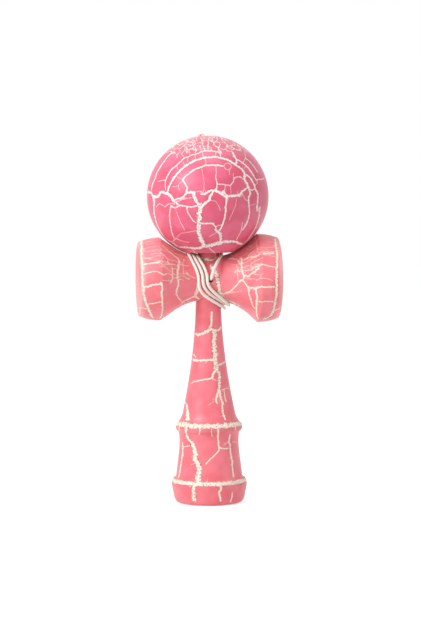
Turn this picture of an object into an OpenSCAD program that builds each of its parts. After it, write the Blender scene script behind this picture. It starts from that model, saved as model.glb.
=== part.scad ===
// Kendama: a turned wooden handle with a spike, a cross piece with two cups,
// a ball that sits on the spike, and the string that joins them.
// Millimetres. The origin is the middle of the foot ring, +Z runs up the handle,
// the large cup is on +X and the string leaves the cross piece on -Y.

/* [Handle] */
// Length of the handle, from the foot to the tip of the spike
handle_length = 158; // [150:1:175]
// Largest diameter of the base flange
base_d = 37.8; // [34:0.2:42]
// Height of the base flange
base_h = 12.4; // [10:0.2:15]
// Outer diameter of the flat foot ring
foot_d = 29.6; // [29:0.2:32]
// Diameter of the base cup's mouth
base_cup_d = 26.8; // [23:0.2:28]
// Depth of the base cup
base_cup_depth = 6.5; // [4:0.5:9]
// Diameter of the neck just above the base flange
neck_foot_d = 33.6; // [31:0.2:34]
// Diameter of the neck at its narrowest
neck_d = 29.4; // [24:0.2:31]
// Height of the neck's narrowest point
neck_z = 30.5; // [24:0.5:32]
// Diameter of the collar
collar_d = 33.4; // [31.2:0.2:38]
// Height of the collar's middle
collar_z = 38; // [36:0.5:42]
// Width of the collar's rounded edge
collar_h = 4.6; // [3:0.2:6]
// Diameter of the grip where it meets the collar's shoulder
grip_d = 26; // [22:0.5:30]
// Height at which the grip meets the collar's shoulder
grip_z = 45.5; // [44:0.5:50]
// Diameter of the taper just below the cross piece
throat_d = 12.6; // [11:0.2:14]
// Diameter of the taper just above the cross piece
spike_d = 11; // [9:0.2:12]
// Diameter of the rounded tip of the spike
tip_d = 4.4; // [3:0.2:6]

/* [Cross piece] */
// Height of the cross piece's axis above the foot
cross_z = 112; // [105:0.5:118]
// Length of the cross piece
cross_length = 70; // [66:0.5:80]
// Diameter of the waist, where the handle goes through
waist_d = 21; // [19:0.2:24]
// Distance between the two ridges
ridge_gap = 49; // [44:0.5:54]
// Diameter of the ridge on the large cup's side
large_ridge_d = 44.2; // [42:0.2:48]
// Outer diameter of the large cup's rim
large_rim_d = 41; // [39:0.2:42]
// Diameter of the large cup's mouth
large_cup_d = 36; // [30:0.2:37]
// Depth of the large cup
large_cup_depth = 8; // [5:0.5:11]
// Diameter of the ridge on the small cup's side
small_ridge_d = 41.4; // [40:0.2:46]
// Outer diameter of the small cup's rim
small_rim_d = 37.6; // [36:0.2:39.4]
// Diameter of the small cup's mouth
small_cup_d = 33.2; // [28:0.2:34.4]
// Depth of the small cup
small_cup_depth = 7.5; // [5:0.5:10]
// Radius of the rounded outer edge of both rims
rim_round = 1.1; // [0.4:0.1:1.5]

/* [Ball] */
// Diameter of the ball
ball_d = 60.5; // [58:0.5:64]
// Diameter of the catch hole that takes the spike
catch_hole_d = 22; // [21:0.5:24]
// Depth of the catch hole, from the ball's lowest point
catch_hole_depth = 46.5; // [42:0.5:52]
// Width of the bevel around the catch hole
catch_bevel = 1.5; // [1.2:0.1:2]
// Diameter of the string hole in the top of the ball
top_hole_d = 4; // [3:0.1:5]
// Width of the bevel around the string hole
top_bevel = 0.8; // [0.4:0.1:1.2]
// Diameter of the bead that stops the string inside the ball
bead_d = 6.4; // [5:0.2:8]
// Diameter of the hole through the bead
bead_hole_d = 2; // [1.8:0.1:2.6]

/* [String] */
// Diameter of the string
string_d = 1.5; // [1:0.1:1.6]
// Diameter of the string hole through the front of the cross piece
front_hole_d = 3; // [2.2:0.1:4]
// Diameter of the string hole through the handle
cross_bore_d = 2.6; // [2:0.1:3.2]
// Diameter of the pocket in the handle that holds the knot
pocket_d = 4.8; // [4.2:0.1:5.4]
// Diameter of the knot in the handle
handle_knot_d = 4; // [3.4:0.1:4.2]
// Diameter of the knot under the bead
bead_knot_d = 3; // [2.6:0.1:3.6]
// Free room between neighbouring turns of the winding
turn_gap = 0.7; // [0.6:0.1:1.2]
// Free room between the turns on the crest, where the ball sits over them
crest_gap = 0.45; // [0.45:0.05:0.7]

/* [Fits] */
// Radial clearance of the cross piece on the handle's taper
taper_clearance = 0.08; // [0.05:0.01:0.1]
// Clearance between the string and what it lies on
string_clearance = 0.3; // [0.2:0.05:0.5]
// Gap between the ball and the waist where they come nearest
ball_rest_gap = 0.2; // [0.2:0.1:1.5]
// How much larger the radius of the waist's arc is than the ball that nests in it
nest_gap = 0.35; // [0.2:0.05:1.5]
// Gap between pieces that are drawn up against each other
seat_gap = 0.05; // [0.02:0.01:0.1]

/* [Hidden] */

$fn = 128;
curve_steps = 12;
tube_sides = 8;
turn_sides = 6;
turn_rings = 24;
overcut = 1;

string_r = string_d / 2;
waist_r = waist_d / 2;
ball_r = ball_d / 2;
cross_half = cross_length / 2;
ridge_x = ridge_gap / 2;

// The taper is one straight cone from the throat to the root of the spike.
taper_reach_below = 3;
taper_reach_above = 1.5;
throat_z = cross_z - waist_r - taper_reach_below;
spike_z = cross_z + waist_r + taper_reach_above;
taper_slope = (spike_d - throat_d) / 2 / (spike_z - throat_z);
function taper_r(z) = throat_d / 2 + taper_slope * (z - throat_z);

// Curves, as lists of points
function quadratic(a, b, c) =
    [for (i = [0 : curve_steps]) let (t = i / curve_steps)
        (1 - t) * (1 - t) * a + 2 * t * (1 - t) * b + t * t * c];
function cubic(a, b, c, d) =
    [for (i = [0 : 2 * curve_steps]) let (t = i / (2 * curve_steps), s = 1 - t)
        s * s * s * a + 3 * s * s * t * b + 3 * s * t * t * c + t * t * t * d];

// A dish from its middle to its mouth, as [radius, height above the mouth]
function dish_radius(mouth_r, depth) = (mouth_r * mouth_r + depth * depth) / (2 * depth);
function dish(mouth_r, depth) =
    let (r = dish_radius(mouth_r, depth), sweep = asin(mouth_r / r))
    [for (i = [0 : 2 * curve_steps]) let (a = sweep * i / (2 * curve_steps))
        [r * sin(a), depth - r + r * cos(a)]];

// Half the waist, from its middle out to a ridge: an arc that the ball nests in, then a straight slope
function waist_arc_r(rise) = min(ball_r + nest_gap, (ridge_x * ridge_x + rise * rise) / (2 * rise));
function slope_angle(rise) =
    let (arc_r = waist_arc_r(rise), fall = arc_r - rise)
    atan2(ridge_x, fall) - acos(min(1, arc_r / norm([ridge_x, fall])));
function waist_at(x) =
    let (rise = (x > 0 ? large_ridge_d : small_ridge_d) / 2 - waist_r,
         arc_r = waist_arc_r(rise), angle = slope_angle(rise))
    abs(x) < arc_r * sin(angle)
        ? waist_r + arc_r - sqrt(arc_r * arc_r - x * x)
        : waist_r + rise - (ridge_x - abs(x)) * tan(angle);

// Handle, as [radius, height] points from the base cup's middle to the tip.
// The lean of the base's side, the rounded edges and the coves beside them
side_lean = 1.1;
foot_round = 3.4;
flange_round = 4;
flange_swell = 0.2;
cove = 0.8;
cove_h = 1.6;
neck_cove = 4.5;
collar_round = 1.2;
shoulder_round = 0.9;
shoulder_cove = 1.8;
grip_pull = 20;
grip_slope = -0.2;
throat_pull = 18;
foot_r = foot_d / 2;
side_r = base_d / 2 - side_lean;
flange_r = base_d / 2;
neck_foot_r = neck_foot_d / 2;
neck_r = neck_d / 2;
collar_r = collar_d / 2;
collar_low_z = collar_z - collar_h / 2;
shoulder_z = collar_z + collar_h / 2;
grip_r = grip_d / 2;
throat_r = throat_d / 2;
tip_r = tip_d / 2;
function base_outline() = concat(
    dish(base_cup_d / 2, base_cup_depth),
    quadratic([foot_r, 0], [side_r - side_lean / 2, 0], [side_r, foot_round]),
    quadratic([flange_r - flange_swell / 2, base_h - flange_round], [flange_r + flange_swell, base_h],
              [neck_foot_r + cove, base_h]),
    quadratic([neck_foot_r + cove / 2, base_h + cove / 8], [neck_foot_r, base_h + cove / 3],
              [neck_foot_r - cove / 4, base_h + cove_h]));
function collar_outline() = concat(
    cubic([neck_r + cove / 2, neck_z - neck_cove], [neck_r, neck_z], [neck_r, collar_low_z - cove_h],
          [collar_r - collar_round, collar_low_z]),
    quadratic([collar_r - collar_round / 2, collar_low_z + collar_round / 3],
              [collar_r, collar_z - collar_round], [collar_r, collar_z]),
    quadratic([collar_r, shoulder_z - 2 * shoulder_round], [collar_r, shoulder_z - shoulder_round / 2],
              [collar_r - shoulder_round, shoulder_z]));
function grip_outline() = concat(
    quadratic([collar_r - 1.5 * shoulder_round, shoulder_z + shoulder_round / 3],
              [grip_r + cove, shoulder_z + shoulder_cove], [grip_r, grip_z]),
    cubic([grip_r, grip_z], [grip_r + grip_slope * grip_pull, grip_z + grip_pull],
          [throat_r - taper_slope * throat_pull, throat_z - throat_pull], [throat_r, throat_z]));
function spike_outline() = concat(
    [[spike_d / 2, spike_z]],
    [for (i = [0 : curve_steps]) let (a = 90 * i / curve_steps)
        [tip_r * cos(a), handle_length - tip_r + tip_r * sin(a)]]);

pocket_floor_y = 1;
module handle() color("#f27a86") difference() {
    rotate_extrude() polygon(concat(base_outline(), collar_outline(), grip_outline(), spike_outline()));
    translate([0, 0, cross_z]) rotate([90, 0, 0])
        cylinder(d = cross_bore_d, h = throat_d + overcut, center = true);
    translate([0, pocket_floor_y, cross_z]) rotate([-90, 0, 0])
        cylinder(d = pocket_d, h = throat_d);
}

// Cross piece, as [radius, place along the axis] points
band_bulge = 0.7;
function cup_end(ridge_r, rim_r, mouth_r, depth) = concat(
    [for (p = dish(mouth_r, depth)) [p[0], cross_half - p[1]]],
    quadratic([rim_r - rim_round, cross_half], [rim_r, cross_half], [rim_r, cross_half - rim_round]),
    quadratic([rim_r + rim_round / 10, cross_half - 1.3 * rim_round],
              [(rim_r + ridge_r) / 2 + band_bulge, (cross_half + ridge_x) / 2],
              [ridge_r, ridge_x]));
function half_waist(side) =
    [for (i = [2 * curve_steps - 1 : -1 : 1]) let (x = ridge_x * i / (2 * curve_steps))
        [waist_at(side * x), x]];
function backwards(points) = [for (i = [len(points) - 1 : -1 : 0]) points[i]];
function other_side(points) = [for (p = points) [p[0], -p[1]]];
function large_half() = concat(
    cup_end(large_ridge_d / 2, large_rim_d / 2, large_cup_d / 2, large_cup_depth),
    half_waist(1));
function small_half() = concat(
    cup_end(small_ridge_d / 2, small_rim_d / 2, small_cup_d / 2, small_cup_depth),
    half_waist(-1));

module cross_piece() color("#ee7285") difference() {
    translate([0, 0, cross_z]) rotate([0, 90, 0]) rotate_extrude()
        polygon(concat(large_half(), [[waist_r, 0]], other_side(backwards(small_half()))));
    translate([0, 0, throat_z])
        cylinder(r1 = throat_d / 2 + taper_clearance, r2 = spike_d / 2 + taper_clearance, h = spike_z - throat_z);
    translate([0, 0, cross_z]) rotate([90, 0, 0]) cylinder(d = front_hole_d, h = waist_d);
}

// Ball, with the catch hole facing down. It sits over the waist, as low as the hole's edge and ridges let it.
seat_steps = 40;
mouth_edge_r = catch_hole_d / 2 + catch_bevel;
function seat_over(x) = waist_at(x) + sqrt(ball_r * ball_r - x * x);
ball_z = cross_z + ball_rest_gap + max([for (i = [0 : seat_steps]) for (side = [-1, 1])
    seat_over(side * (mouth_edge_r + (ridge_x - mouth_edge_r) * i / seat_steps))]);
mouth_z = -sqrt(ball_r * ball_r - catch_hole_d * catch_hole_d / 4);
top_z = sqrt(ball_r * ball_r - top_hole_d * top_hole_d / 4);
catch_end_z = -ball_r + catch_hole_depth;
module ball() color("#e2607f") translate([0, 0, ball_z]) difference() {
    sphere(d = ball_d);
    translate([0, 0, -ball_d]) cylinder(d = catch_hole_d, h = ball_d + catch_end_z);
    translate([0, 0, mouth_z - overcut])
        cylinder(d1 = catch_hole_d + 2 * (catch_bevel + overcut), d2 = catch_hole_d, h = catch_bevel + overcut);
    cylinder(d = top_hole_d, h = ball_d);
    translate([0, 0, top_z - top_bevel])
        cylinder(d1 = top_hole_d, d2 = top_hole_d + 2 * (top_bevel + overcut), h = top_bevel + overcut);
}

// Bead and knots
bead_z = ball_z + catch_end_z - seat_gap - bead_d / 2;
bead_knot_z = bead_z - bead_d / 2 - bead_knot_d / 2 - seat_gap;
module bead() color("#e8d3a8") translate([0, 0, bead_z]) difference() {
    sphere(d = bead_d);
    cylinder(d = bead_hole_d, h = bead_d + overcut, center = true);
}
module bead_knot() color("#f6ead6") translate([0, 0, bead_knot_z]) sphere(d = bead_knot_d);
handle_knot_y = pocket_floor_y + handle_knot_d / 2 + seat_gap;
module handle_knot() color("#f6ead6") translate([0, handle_knot_y, cross_z]) sphere(d = handle_knot_d);

// Tubes along a route, with triangles between rings that turn as little as they can
function unit(v) = v / norm(v);
function across(v, along) = unit(v - (v * along) * along);
function directions(route, first, last) =
    [for (i = [0 : len(route) - 1])
        i == 0 ? unit(first) : i == len(route) - 1 ? unit(last) : unit(route[i + 1] - route[i - 1])];
function sideways(along) =
    [for (i = 0, side = across([0.31, 0.22, 0.92], along[0]); i < len(along);
          i = i + 1, side = across(side, along[min(i, len(along) - 1)])) side];
module tube(route, first, last, sides) {
    along = directions(route, first, last);
    side = sideways(along);
    ends = len(route) - 1;
    corners = [for (i = [0 : ends]) for (k = [0 : sides - 1]) let (a = 360 * k / sides)
        route[i] + string_r * (cos(a) * side[i] + sin(a) * cross(along[i], side[i]))];
    walls = [for (i = [0 : ends - 1]) for (k = [0 : sides - 1])
        let (p = i * sides + k, q = i * sides + (k + 1) % sides)
        each [[p, p + sides, q], [q, p + sides, q + sides]]];
    near_cap = [for (k = [1 : sides - 2]) [0, k, k + 1]];
    far_cap = [for (k = [1 : sides - 2]) [ends * sides, ends * sides + k + 1, ends * sides + k]];
    polyhedron(corners, concat(walls, near_cap, far_cap), convexity = 10);
}

// A smooth route through chosen points, with steps points for each span
function spline_point(p, i, t) =
    let (a = i == 0 ? 2 * p[0] - p[1] : p[i - 1], b = p[i], c = p[i + 1],
         d = i + 2 < len(p) ? p[i + 2] : 2 * p[i + 1] - p[i])
    0.5 * (2 * b + (c - a) * t + (2 * a - 5 * b + 4 * c - d) * t * t + (3 * b - a - 3 * c + d) * t * t * t);
function smooth(p, steps) =
    concat([for (i = [0 : len(p) - 2]) for (j = [0 : steps - 1]) spline_point(p, i, j / steps)], [p[len(p) - 1]]);
function length_of(route) = let (steps = [for (i = [1 : len(route) - 1]) norm(route[i] - route[i - 1])])
    steps * [for (s = steps) 1];

// Winding: loops around the waist that cross the front from top left to bottom right.
// The phase is 0 on the crest, 90 at the front, 180 underneath and 270 at the back.
// The loops lie side by side on the waist, and underneath the last one climbs on to the one before it.
front_passes = 3;
turn_pitch = string_d + turn_gap;
crest_pitch = string_d + crest_gap;
under_room = 0.8;
crest_x = -(taper_r(cross_z + waist_r) + string_clearance + string_r);
front_x = -1.7;
under_x = taper_r(cross_z - waist_r) + string_clearance + string_r + under_room + turn_pitch;
back_x = 1;
flat_climb = 180;
under_climb = 90;
function near(phase) = cos(phase) * cos(phase);
function loop_path(phase) =
    phase < 90 ? front_x + (crest_x - front_x) * near(phase) :
    phase < 180 ? front_x + (under_x - front_x) * near(phase) :
    phase < 270 ? back_x + (under_x - back_x) * near(phase) :
                  back_x + (crest_x - crest_pitch - back_x) * near(phase);
function slope_at(phase) =
    let (reach = phase < 90 ? crest_x - front_x : phase < 180 ? under_x - front_x :
                 phase < 270 ? under_x - back_x : crest_x - crest_pitch - back_x)
    reach * sin(2 * phase) / (waist_r + string_d);
function by_crest(phase) = cos(phase) > 0 ? near(phase) * near(phase) : 0;
function level_pitch(phase) = turn_pitch + (crest_pitch - turn_pitch) * by_crest(phase);
function slant_pitch(phase) = level_pitch(phase) * sqrt(1 + slope_at(phase) * slope_at(phase));
function climb_at(phase) = flat_climb - (flat_climb - under_climb) * near(phase);
function lies_at(pass, phase) =
    let (step = slant_pitch(phase), climbs = pass == front_passes - 1 && phase > 90 && phase <= 180)
    climbs ? [loop_path(phase) - (pass - 1) * step + step * cos(climb_at(phase)), turn_pitch * sin(climb_at(phase))]
           : [loop_path(phase) - pass * step, 0];
function winding_point(turn) =
    let (pass = min(front_passes - 1, floor(turn / 360)), phase = turn - 360 * pass,
         place = lies_at(pass, phase),
         reach = waist_at(place[0]) + string_clearance + string_r + place[1])
    [place[0], -reach * sin(phase), cross_z + reach * cos(phase)];
last_turn = 360 * front_passes - 180;
straight_end = [0, string_d, 0];
winding_start = winding_point(0) + straight_end;
winding_end = winding_point(last_turn) + straight_end;
winding_route = concat([winding_start],
                       [for (i = [0 : turn_rings * last_turn / 360]) winding_point(360 * i / turn_rings)],
                       [winding_end]);
least_gap = min([for (i = [0 : len(winding_route) - 1]) for (j = [i + 6 : 1 : len(winding_route) - 1])
    norm(winding_route[i] - winding_route[j])]) - string_d;

// Routes of the free stretches, from the axis of the cross piece
lead_points = [[0.3, -8.4, 0], [0.3, -10.4, 0.3], [0.5, -12, 1.5], [0.9, -12.8, 3.4], [1.7, -12.6, 5.6],
               [3, -11.2, 8], [4.6, -8.6, 10.2], [6, -5, 11.6], [6.7, -1, 12.2], [6.3, 3, 11.8],
               [4.2, 6, 10.8], [0.8, 7.2, 10.2], [-2.8, 6.6, 10.4], [-5.6, 4.4, 11.6]];
riser_points = [[7.4, 5, -13.8], [6.6, 9.6, -11.2], [5.2, 13.6, -6], [3.6, 18, 1], [1.8, 22.4, 9],
                [0.2, 26, 17.4], [-1, 28.5, 25.4], [-2, 30.5, 33], [-2.6, 31.5, 41], [-3, 30.5, 49],
                [-3, 27.5, 56.4], [-3, 22.6, 63], [-3, 16.6, 67.8], [-2.8, 10.6, 71], [-2.4, 6.6, 72.2],
                [-1.5, 3.7, 72.2], [-0.8, 1.9, 71.7], [-0.3, 0.6, 70.5]];
string_x = 0.3;
bore_y = -taper_r(cross_z);
lead_start = [string_x, bore_y - taper_clearance - seat_gap, cross_z];
drop_depth = 2.6;
drop_top = [0, 0, ball_z + ball_r - drop_depth];
function from_cross(points) = [for (p = points) p + [0, 0, cross_z]];
lead_route = smooth(concat([lead_start], from_cross(lead_points), [winding_start + [0, seat_gap, 0]]), 1);
riser_route = smooth(concat([winding_end + [0, seat_gap, 0]], from_cross(riser_points),
                            [drop_top + [0, 0, seat_gap]]), 2);
echo(least_gap_in_winding = least_gap, winding = length_of(winding_route), lead = length_of(lead_route),
     riser = length_of(riser_route));

knot_grip = 0.4;
module string_tail() color("#f6ead6")
    translate([string_x, pocket_floor_y + knot_grip, cross_z]) rotate([90, 0, 0])
        cylinder(d = string_d, h = pocket_floor_y + knot_grip - bore_y - seat_gap);
module string_lead() color("#f6ead6") tube(lead_route, [0, -1, 0], [0, -1, 0], tube_sides);
module string_winding() color("#f6ead6") tube(winding_route, [0, -1, 0], [0, 1, 0], turn_sides);
module string_riser() color("#f6ead6") tube(riser_route, [0, 1, 0], [0, 0, -1], tube_sides);
module string_drop() color("#f6ead6")
    translate([0, 0, bead_knot_z]) cylinder(d = string_d, h = drop_top[2] - bead_knot_z);

handle();
cross_piece();
ball();
bead();
bead_knot();
handle_knot();
string_tail();
string_lead();
string_winding();
string_riser();
string_drop();
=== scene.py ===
"""Looks of a wooden kendama: crackle paint over a pale undercoat, bare wood in the bores, and its string.

Lengths are in millimetres, and MM turns them into metres where a mesh, a lamp or the camera is made.
"""

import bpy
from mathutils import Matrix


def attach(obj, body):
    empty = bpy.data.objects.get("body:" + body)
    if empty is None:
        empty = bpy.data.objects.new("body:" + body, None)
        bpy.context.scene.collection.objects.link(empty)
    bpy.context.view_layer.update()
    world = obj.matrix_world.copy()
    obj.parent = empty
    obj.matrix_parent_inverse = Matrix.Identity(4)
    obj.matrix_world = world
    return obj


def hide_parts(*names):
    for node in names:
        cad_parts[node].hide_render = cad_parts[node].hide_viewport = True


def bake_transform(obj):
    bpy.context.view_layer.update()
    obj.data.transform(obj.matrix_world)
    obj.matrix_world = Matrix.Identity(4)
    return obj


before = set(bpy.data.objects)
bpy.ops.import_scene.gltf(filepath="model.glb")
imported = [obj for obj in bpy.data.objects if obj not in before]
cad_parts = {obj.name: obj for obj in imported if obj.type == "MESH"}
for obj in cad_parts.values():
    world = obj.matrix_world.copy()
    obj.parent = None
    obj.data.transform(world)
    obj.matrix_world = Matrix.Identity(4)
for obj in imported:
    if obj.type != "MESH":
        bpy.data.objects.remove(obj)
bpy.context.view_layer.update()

import math
import random

import bpy
import numpy as np
from mathutils import Matrix, Vector, noise
from mathutils.bvhtree import BVHTree
from mathutils.kdtree import KDTree

MM = 0.001

# Handle
HANDLE_LENGTH = 158
BASE_R = 18.9
BASE_H = 12.4
FOOT_R = 14.8
BASE_CUP_R = 13.4
BASE_CUP_DEPTH = 6.5
NECK_FOOT_R = 16.8
NECK_R = 14.7
NECK_Z = 30.5
COLLAR_R = 16.7
COLLAR_Z = 38
COLLAR_H = 4.6
GRIP_R = 13
GRIP_Z = 45.5
THROAT_R = 6.3
SPIKE_R = 5.5
TIP_R = 2.2
# Rounded edges, coves and lean of the handle's outline
SIDE_LEAN = 1.1
FOOT_ROUND = 3.4
FLANGE_ROUND = 4
FLANGE_SWELL = 0.2
COVE = 0.8
COVE_H = 1.6
NECK_COVE = 4.5
COLLAR_ROUND = 1.2
SHOULDER_ROUND = 0.9
SHOULDER_COVE = 1.8
GRIP_PULL = 20
GRIP_SLOPE = -0.2
THROAT_PULL = 18

# Cross piece
CROSS_Z = 112
CROSS_HALF = 35
WAIST_R = 10.5
RIDGE_X = 24.5
LARGE_RIDGE_R, LARGE_RIM_R, LARGE_CUP_R, LARGE_CUP_DEPTH = 22.1, 20.5, 18, 8
SMALL_RIDGE_R, SMALL_RIM_R, SMALL_CUP_R, SMALL_CUP_DEPTH = 20.7, 18.8, 16.6, 7.5
RIM_ROUND = 1.1
# Where a band starts past its rim: along the axis and outwards, in rim rounds
BAND_START, BAND_LIP = 1.3, 0.1
BAND_BULGE = 0.7
# How far the handle's straight taper reaches past the waist
TAPER_REACH_BELOW, TAPER_REACH_ABOVE = 3, 1.5

# Ball and bead
BALL_R = 30.25
BALL_Z = 152.916
# How much larger the radius of the waist's arc is than the ball's
NEST_GAP = 0.35
CATCH_R = 11
CATCH_DEPTH = 46.5
TOP_HOLE_R = 2
# Depth of the bevels at the ball's holes, and how far they spread as shares of that
CATCH_BEVEL, CATCH_FLARE = 1.5, 0.72
TOP_BEVEL, TOP_FLARE = 0.8, 0.95
BEAD_R = 3.2
BEAD_HOLE_R = 1
BEAD_KNOT_R = 1.5

# String, its holes and its fits
STRING_R = 0.75
FRONT_HOLE_R = 1.5
CROSS_BORE_R = 1.3
POCKET_R = 2.4
POCKET_FLOOR_Y = 1
HANDLE_KNOT_R = 2
TURN_GAP = 0.7
CREST_GAP = 0.45
TAPER_CLEARANCE = 0.08
STRING_CLEARANCE = 0.3
SEAT_GAP = 0.05

# Places that follow from the sizes
THROAT_Z = CROSS_Z - WAIST_R - TAPER_REACH_BELOW
SPIKE_Z = CROSS_Z + WAIST_R + TAPER_REACH_ABOVE
TAPER_SLOPE = (SPIKE_R - THROAT_R) / (SPIKE_Z - THROAT_Z)
CATCH_END_Z = CATCH_DEPTH - BALL_R
BEAD_Z = BALL_Z + CATCH_END_Z - SEAT_GAP - BEAD_R
BEAD_KNOT_Z = BEAD_Z - BEAD_R - BEAD_KNOT_R - SEAT_GAP
HANDLE_KNOT_Y = POCKET_FLOOR_Y + HANDLE_KNOT_R + SEAT_GAP

# Fineness of the meshes: sides of each turned piece, and length of a step along its outline
HANDLE_SIDES, HANDLE_STEP = 288, 0.62
CROSS_SIDES, CROSS_STEP = 330, 0.62
BALL_SIDES, BALL_STEP = 390, 0.56
BEAD_SIDES, BEAD_ROWS, BEAD_STEP = 48, 24, 0.5
STRING_SIDES, STRING_STEP = 16, 0.22
CUTTER_SIDES = 64
TIP_ROWS = 9
# Points on the waist for each step of half its length, and how many times longer steps are inside the ball
WAIST_FINENESS = 2.3
INSIDE_STEPS = 4
# Edges sharper than these angles stay sharp
SHARP_ANGLE, CORD_SHARP_ANGLE = 40, 60


def taper_r(z):
    """Radius of the handle's straight taper at a height."""
    return THROAT_R + TAPER_SLOPE * (z - THROAT_Z)


# Outlines, as points of radius and height

def bezier(step, *corners):
    """Points about a step apart on the Bezier curve with these control points."""
    corners = [np.array(c, float) for c in corners]
    reach = sum(np.linalg.norm(b - a) for a, b in zip(corners, corners[1:]))
    t = np.linspace(0, 1, max(6, math.ceil(reach / step)) + 1)[:, None]
    while len(corners) > 1:
        corners = [a * (1 - t) + b * t for a, b in zip(corners, corners[1:])]
    return corners[0]


def line(step, a, b):
    """Points about a step apart on the straight line between two points."""
    a, b = np.array(a, float), np.array(b, float)
    t = np.linspace(0, 1, max(1, math.ceil(np.linalg.norm(b - a) / step)) + 1)[:, None]
    return a * (1 - t) + b * t


def dish(step, mouth_r, depth):
    """A cup's hollow from its middle to its mouth, with heights above the mouth."""
    r = (mouth_r**2 + depth**2) / (2 * depth)
    sweep = math.asin(mouth_r / r)
    a = np.linspace(0, sweep, math.ceil(r * sweep / step) + 1)
    return np.stack([r * np.sin(a), depth - r + r * np.cos(a)], 1)


def joined(*stretches):
    """One outline from stretches whose ends may leave small gaps, without doubled points."""
    points = np.concatenate(stretches)
    apart = np.linalg.norm(np.diff(points, axis=0), axis=1) > 1e-4
    return points[np.concatenate([[True], apart])]


def handle_outline(step):
    """From the middle of the base cup over the foot, the collar and the grip to the tip of the spike."""
    side_r = BASE_R - SIDE_LEAN
    collar_low = COLLAR_Z - COLLAR_H / 2
    shoulder = COLLAR_Z + COLLAR_H / 2
    foot = bezier(step, (FOOT_R, 0), (side_r - SIDE_LEAN / 2, 0), (side_r, FOOT_ROUND))
    flange = bezier(step, (BASE_R - FLANGE_SWELL / 2, BASE_H - FLANGE_ROUND), (BASE_R + FLANGE_SWELL, BASE_H),
                    (NECK_FOOT_R + COVE, BASE_H))
    neck_foot = bezier(step, (NECK_FOOT_R + COVE / 2, BASE_H + COVE / 8), (NECK_FOOT_R, BASE_H + COVE / 3),
                       (NECK_FOOT_R - COVE / 4, BASE_H + COVE_H))
    neck = bezier(step, (NECK_R + COVE / 2, NECK_Z - NECK_COVE), (NECK_R, NECK_Z),
                  (NECK_R, collar_low - COVE_H), (COLLAR_R - COLLAR_ROUND, collar_low))
    collar = bezier(step, (COLLAR_R - COLLAR_ROUND / 2, collar_low + COLLAR_ROUND / 3),
                    (COLLAR_R, COLLAR_Z - COLLAR_ROUND), (COLLAR_R, COLLAR_Z))
    collar_top = bezier(step, (COLLAR_R, shoulder - 2 * SHOULDER_ROUND),
                        (COLLAR_R, shoulder - SHOULDER_ROUND / 2), (COLLAR_R - SHOULDER_ROUND, shoulder))
    cove = bezier(step, (COLLAR_R - 1.5 * SHOULDER_ROUND, shoulder + SHOULDER_ROUND / 3),
                  (GRIP_R + COVE, shoulder + SHOULDER_COVE), (GRIP_R, GRIP_Z))
    grip = bezier(step, (GRIP_R, GRIP_Z), (GRIP_R + GRIP_SLOPE * GRIP_PULL, GRIP_Z + GRIP_PULL),
                  (THROAT_R - TAPER_SLOPE * THROAT_PULL, THROAT_Z - THROAT_PULL), (THROAT_R, THROAT_Z))
    a = np.linspace(0, math.pi / 2, TIP_ROWS)
    tip = np.stack([TIP_R * np.cos(a), HANDLE_LENGTH - TIP_R + TIP_R * np.sin(a)], 1)
    tip[-1, 0] = 0
    taper = line(step, (THROAT_R, THROAT_Z), (SPIKE_R, SPIKE_Z))
    spike = line(step, (SPIKE_R, SPIKE_Z), tip[0])
    return joined(dish(step, BASE_CUP_R, BASE_CUP_DEPTH), line(step, (BASE_CUP_R, 0), (FOOT_R, 0)), foot,
                  line(step, foot[-1], flange[0]), flange, neck_foot, line(step, neck_foot[-1], neck[0]),
                  neck, collar, collar_top, cove, grip, taper, spike, tip)


def waist_at(x):
    """Radius of the cross piece between its ridges: an arc that the ball nests in, then a straight slope."""
    rise = (LARGE_RIDGE_R if x > 0 else SMALL_RIDGE_R) - WAIST_R
    arc_r = min(BALL_R + NEST_GAP, (RIDGE_X**2 + rise**2) / (2 * rise))
    fall = arc_r - rise
    angle = math.atan2(RIDGE_X, fall) - math.acos(min(1, arc_r / math.hypot(RIDGE_X, fall)))
    if abs(x) < arc_r * math.sin(angle):
        return WAIST_R + arc_r - math.sqrt(arc_r**2 - x**2)
    return WAIST_R + rise - (RIDGE_X - abs(x)) * math.tan(angle)


def cup_end(step, ridge_r, rim_r, mouth_r, depth):
    """From the middle of a cup over its rim and its band to the ridge, with places along the axis."""
    hollow = dish(step, mouth_r, depth)
    hollow[:, 1] = CROSS_HALF - hollow[:, 1]
    rim = bezier(step, (rim_r - RIM_ROUND, CROSS_HALF), (rim_r, CROSS_HALF), (rim_r, CROSS_HALF - RIM_ROUND))
    band = bezier(step, (rim_r + BAND_LIP * RIM_ROUND, CROSS_HALF - BAND_START * RIM_ROUND),
                  ((rim_r + ridge_r) / 2 + BAND_BULGE, (CROSS_HALF + RIDGE_X) / 2), (ridge_r, RIDGE_X))
    return joined(hollow, line(step, hollow[-1], rim[0]), rim, band)


def cross_outline(step):
    """From the middle of the large cup over the waist to the middle of the small cup."""
    waist_x = np.linspace(RIDGE_X, -RIDGE_X, math.ceil(WAIST_FINENESS * RIDGE_X / step))[1:-1]
    waist = np.array([(waist_at(x), x) for x in waist_x])
    large = cup_end(step, LARGE_RIDGE_R, LARGE_RIM_R, LARGE_CUP_R, LARGE_CUP_DEPTH)
    small = cup_end(step, SMALL_RIDGE_R, SMALL_RIM_R, SMALL_CUP_R, SMALL_CUP_DEPTH) * (1, -1)
    return joined(large, waist, small[::-1])


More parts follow.
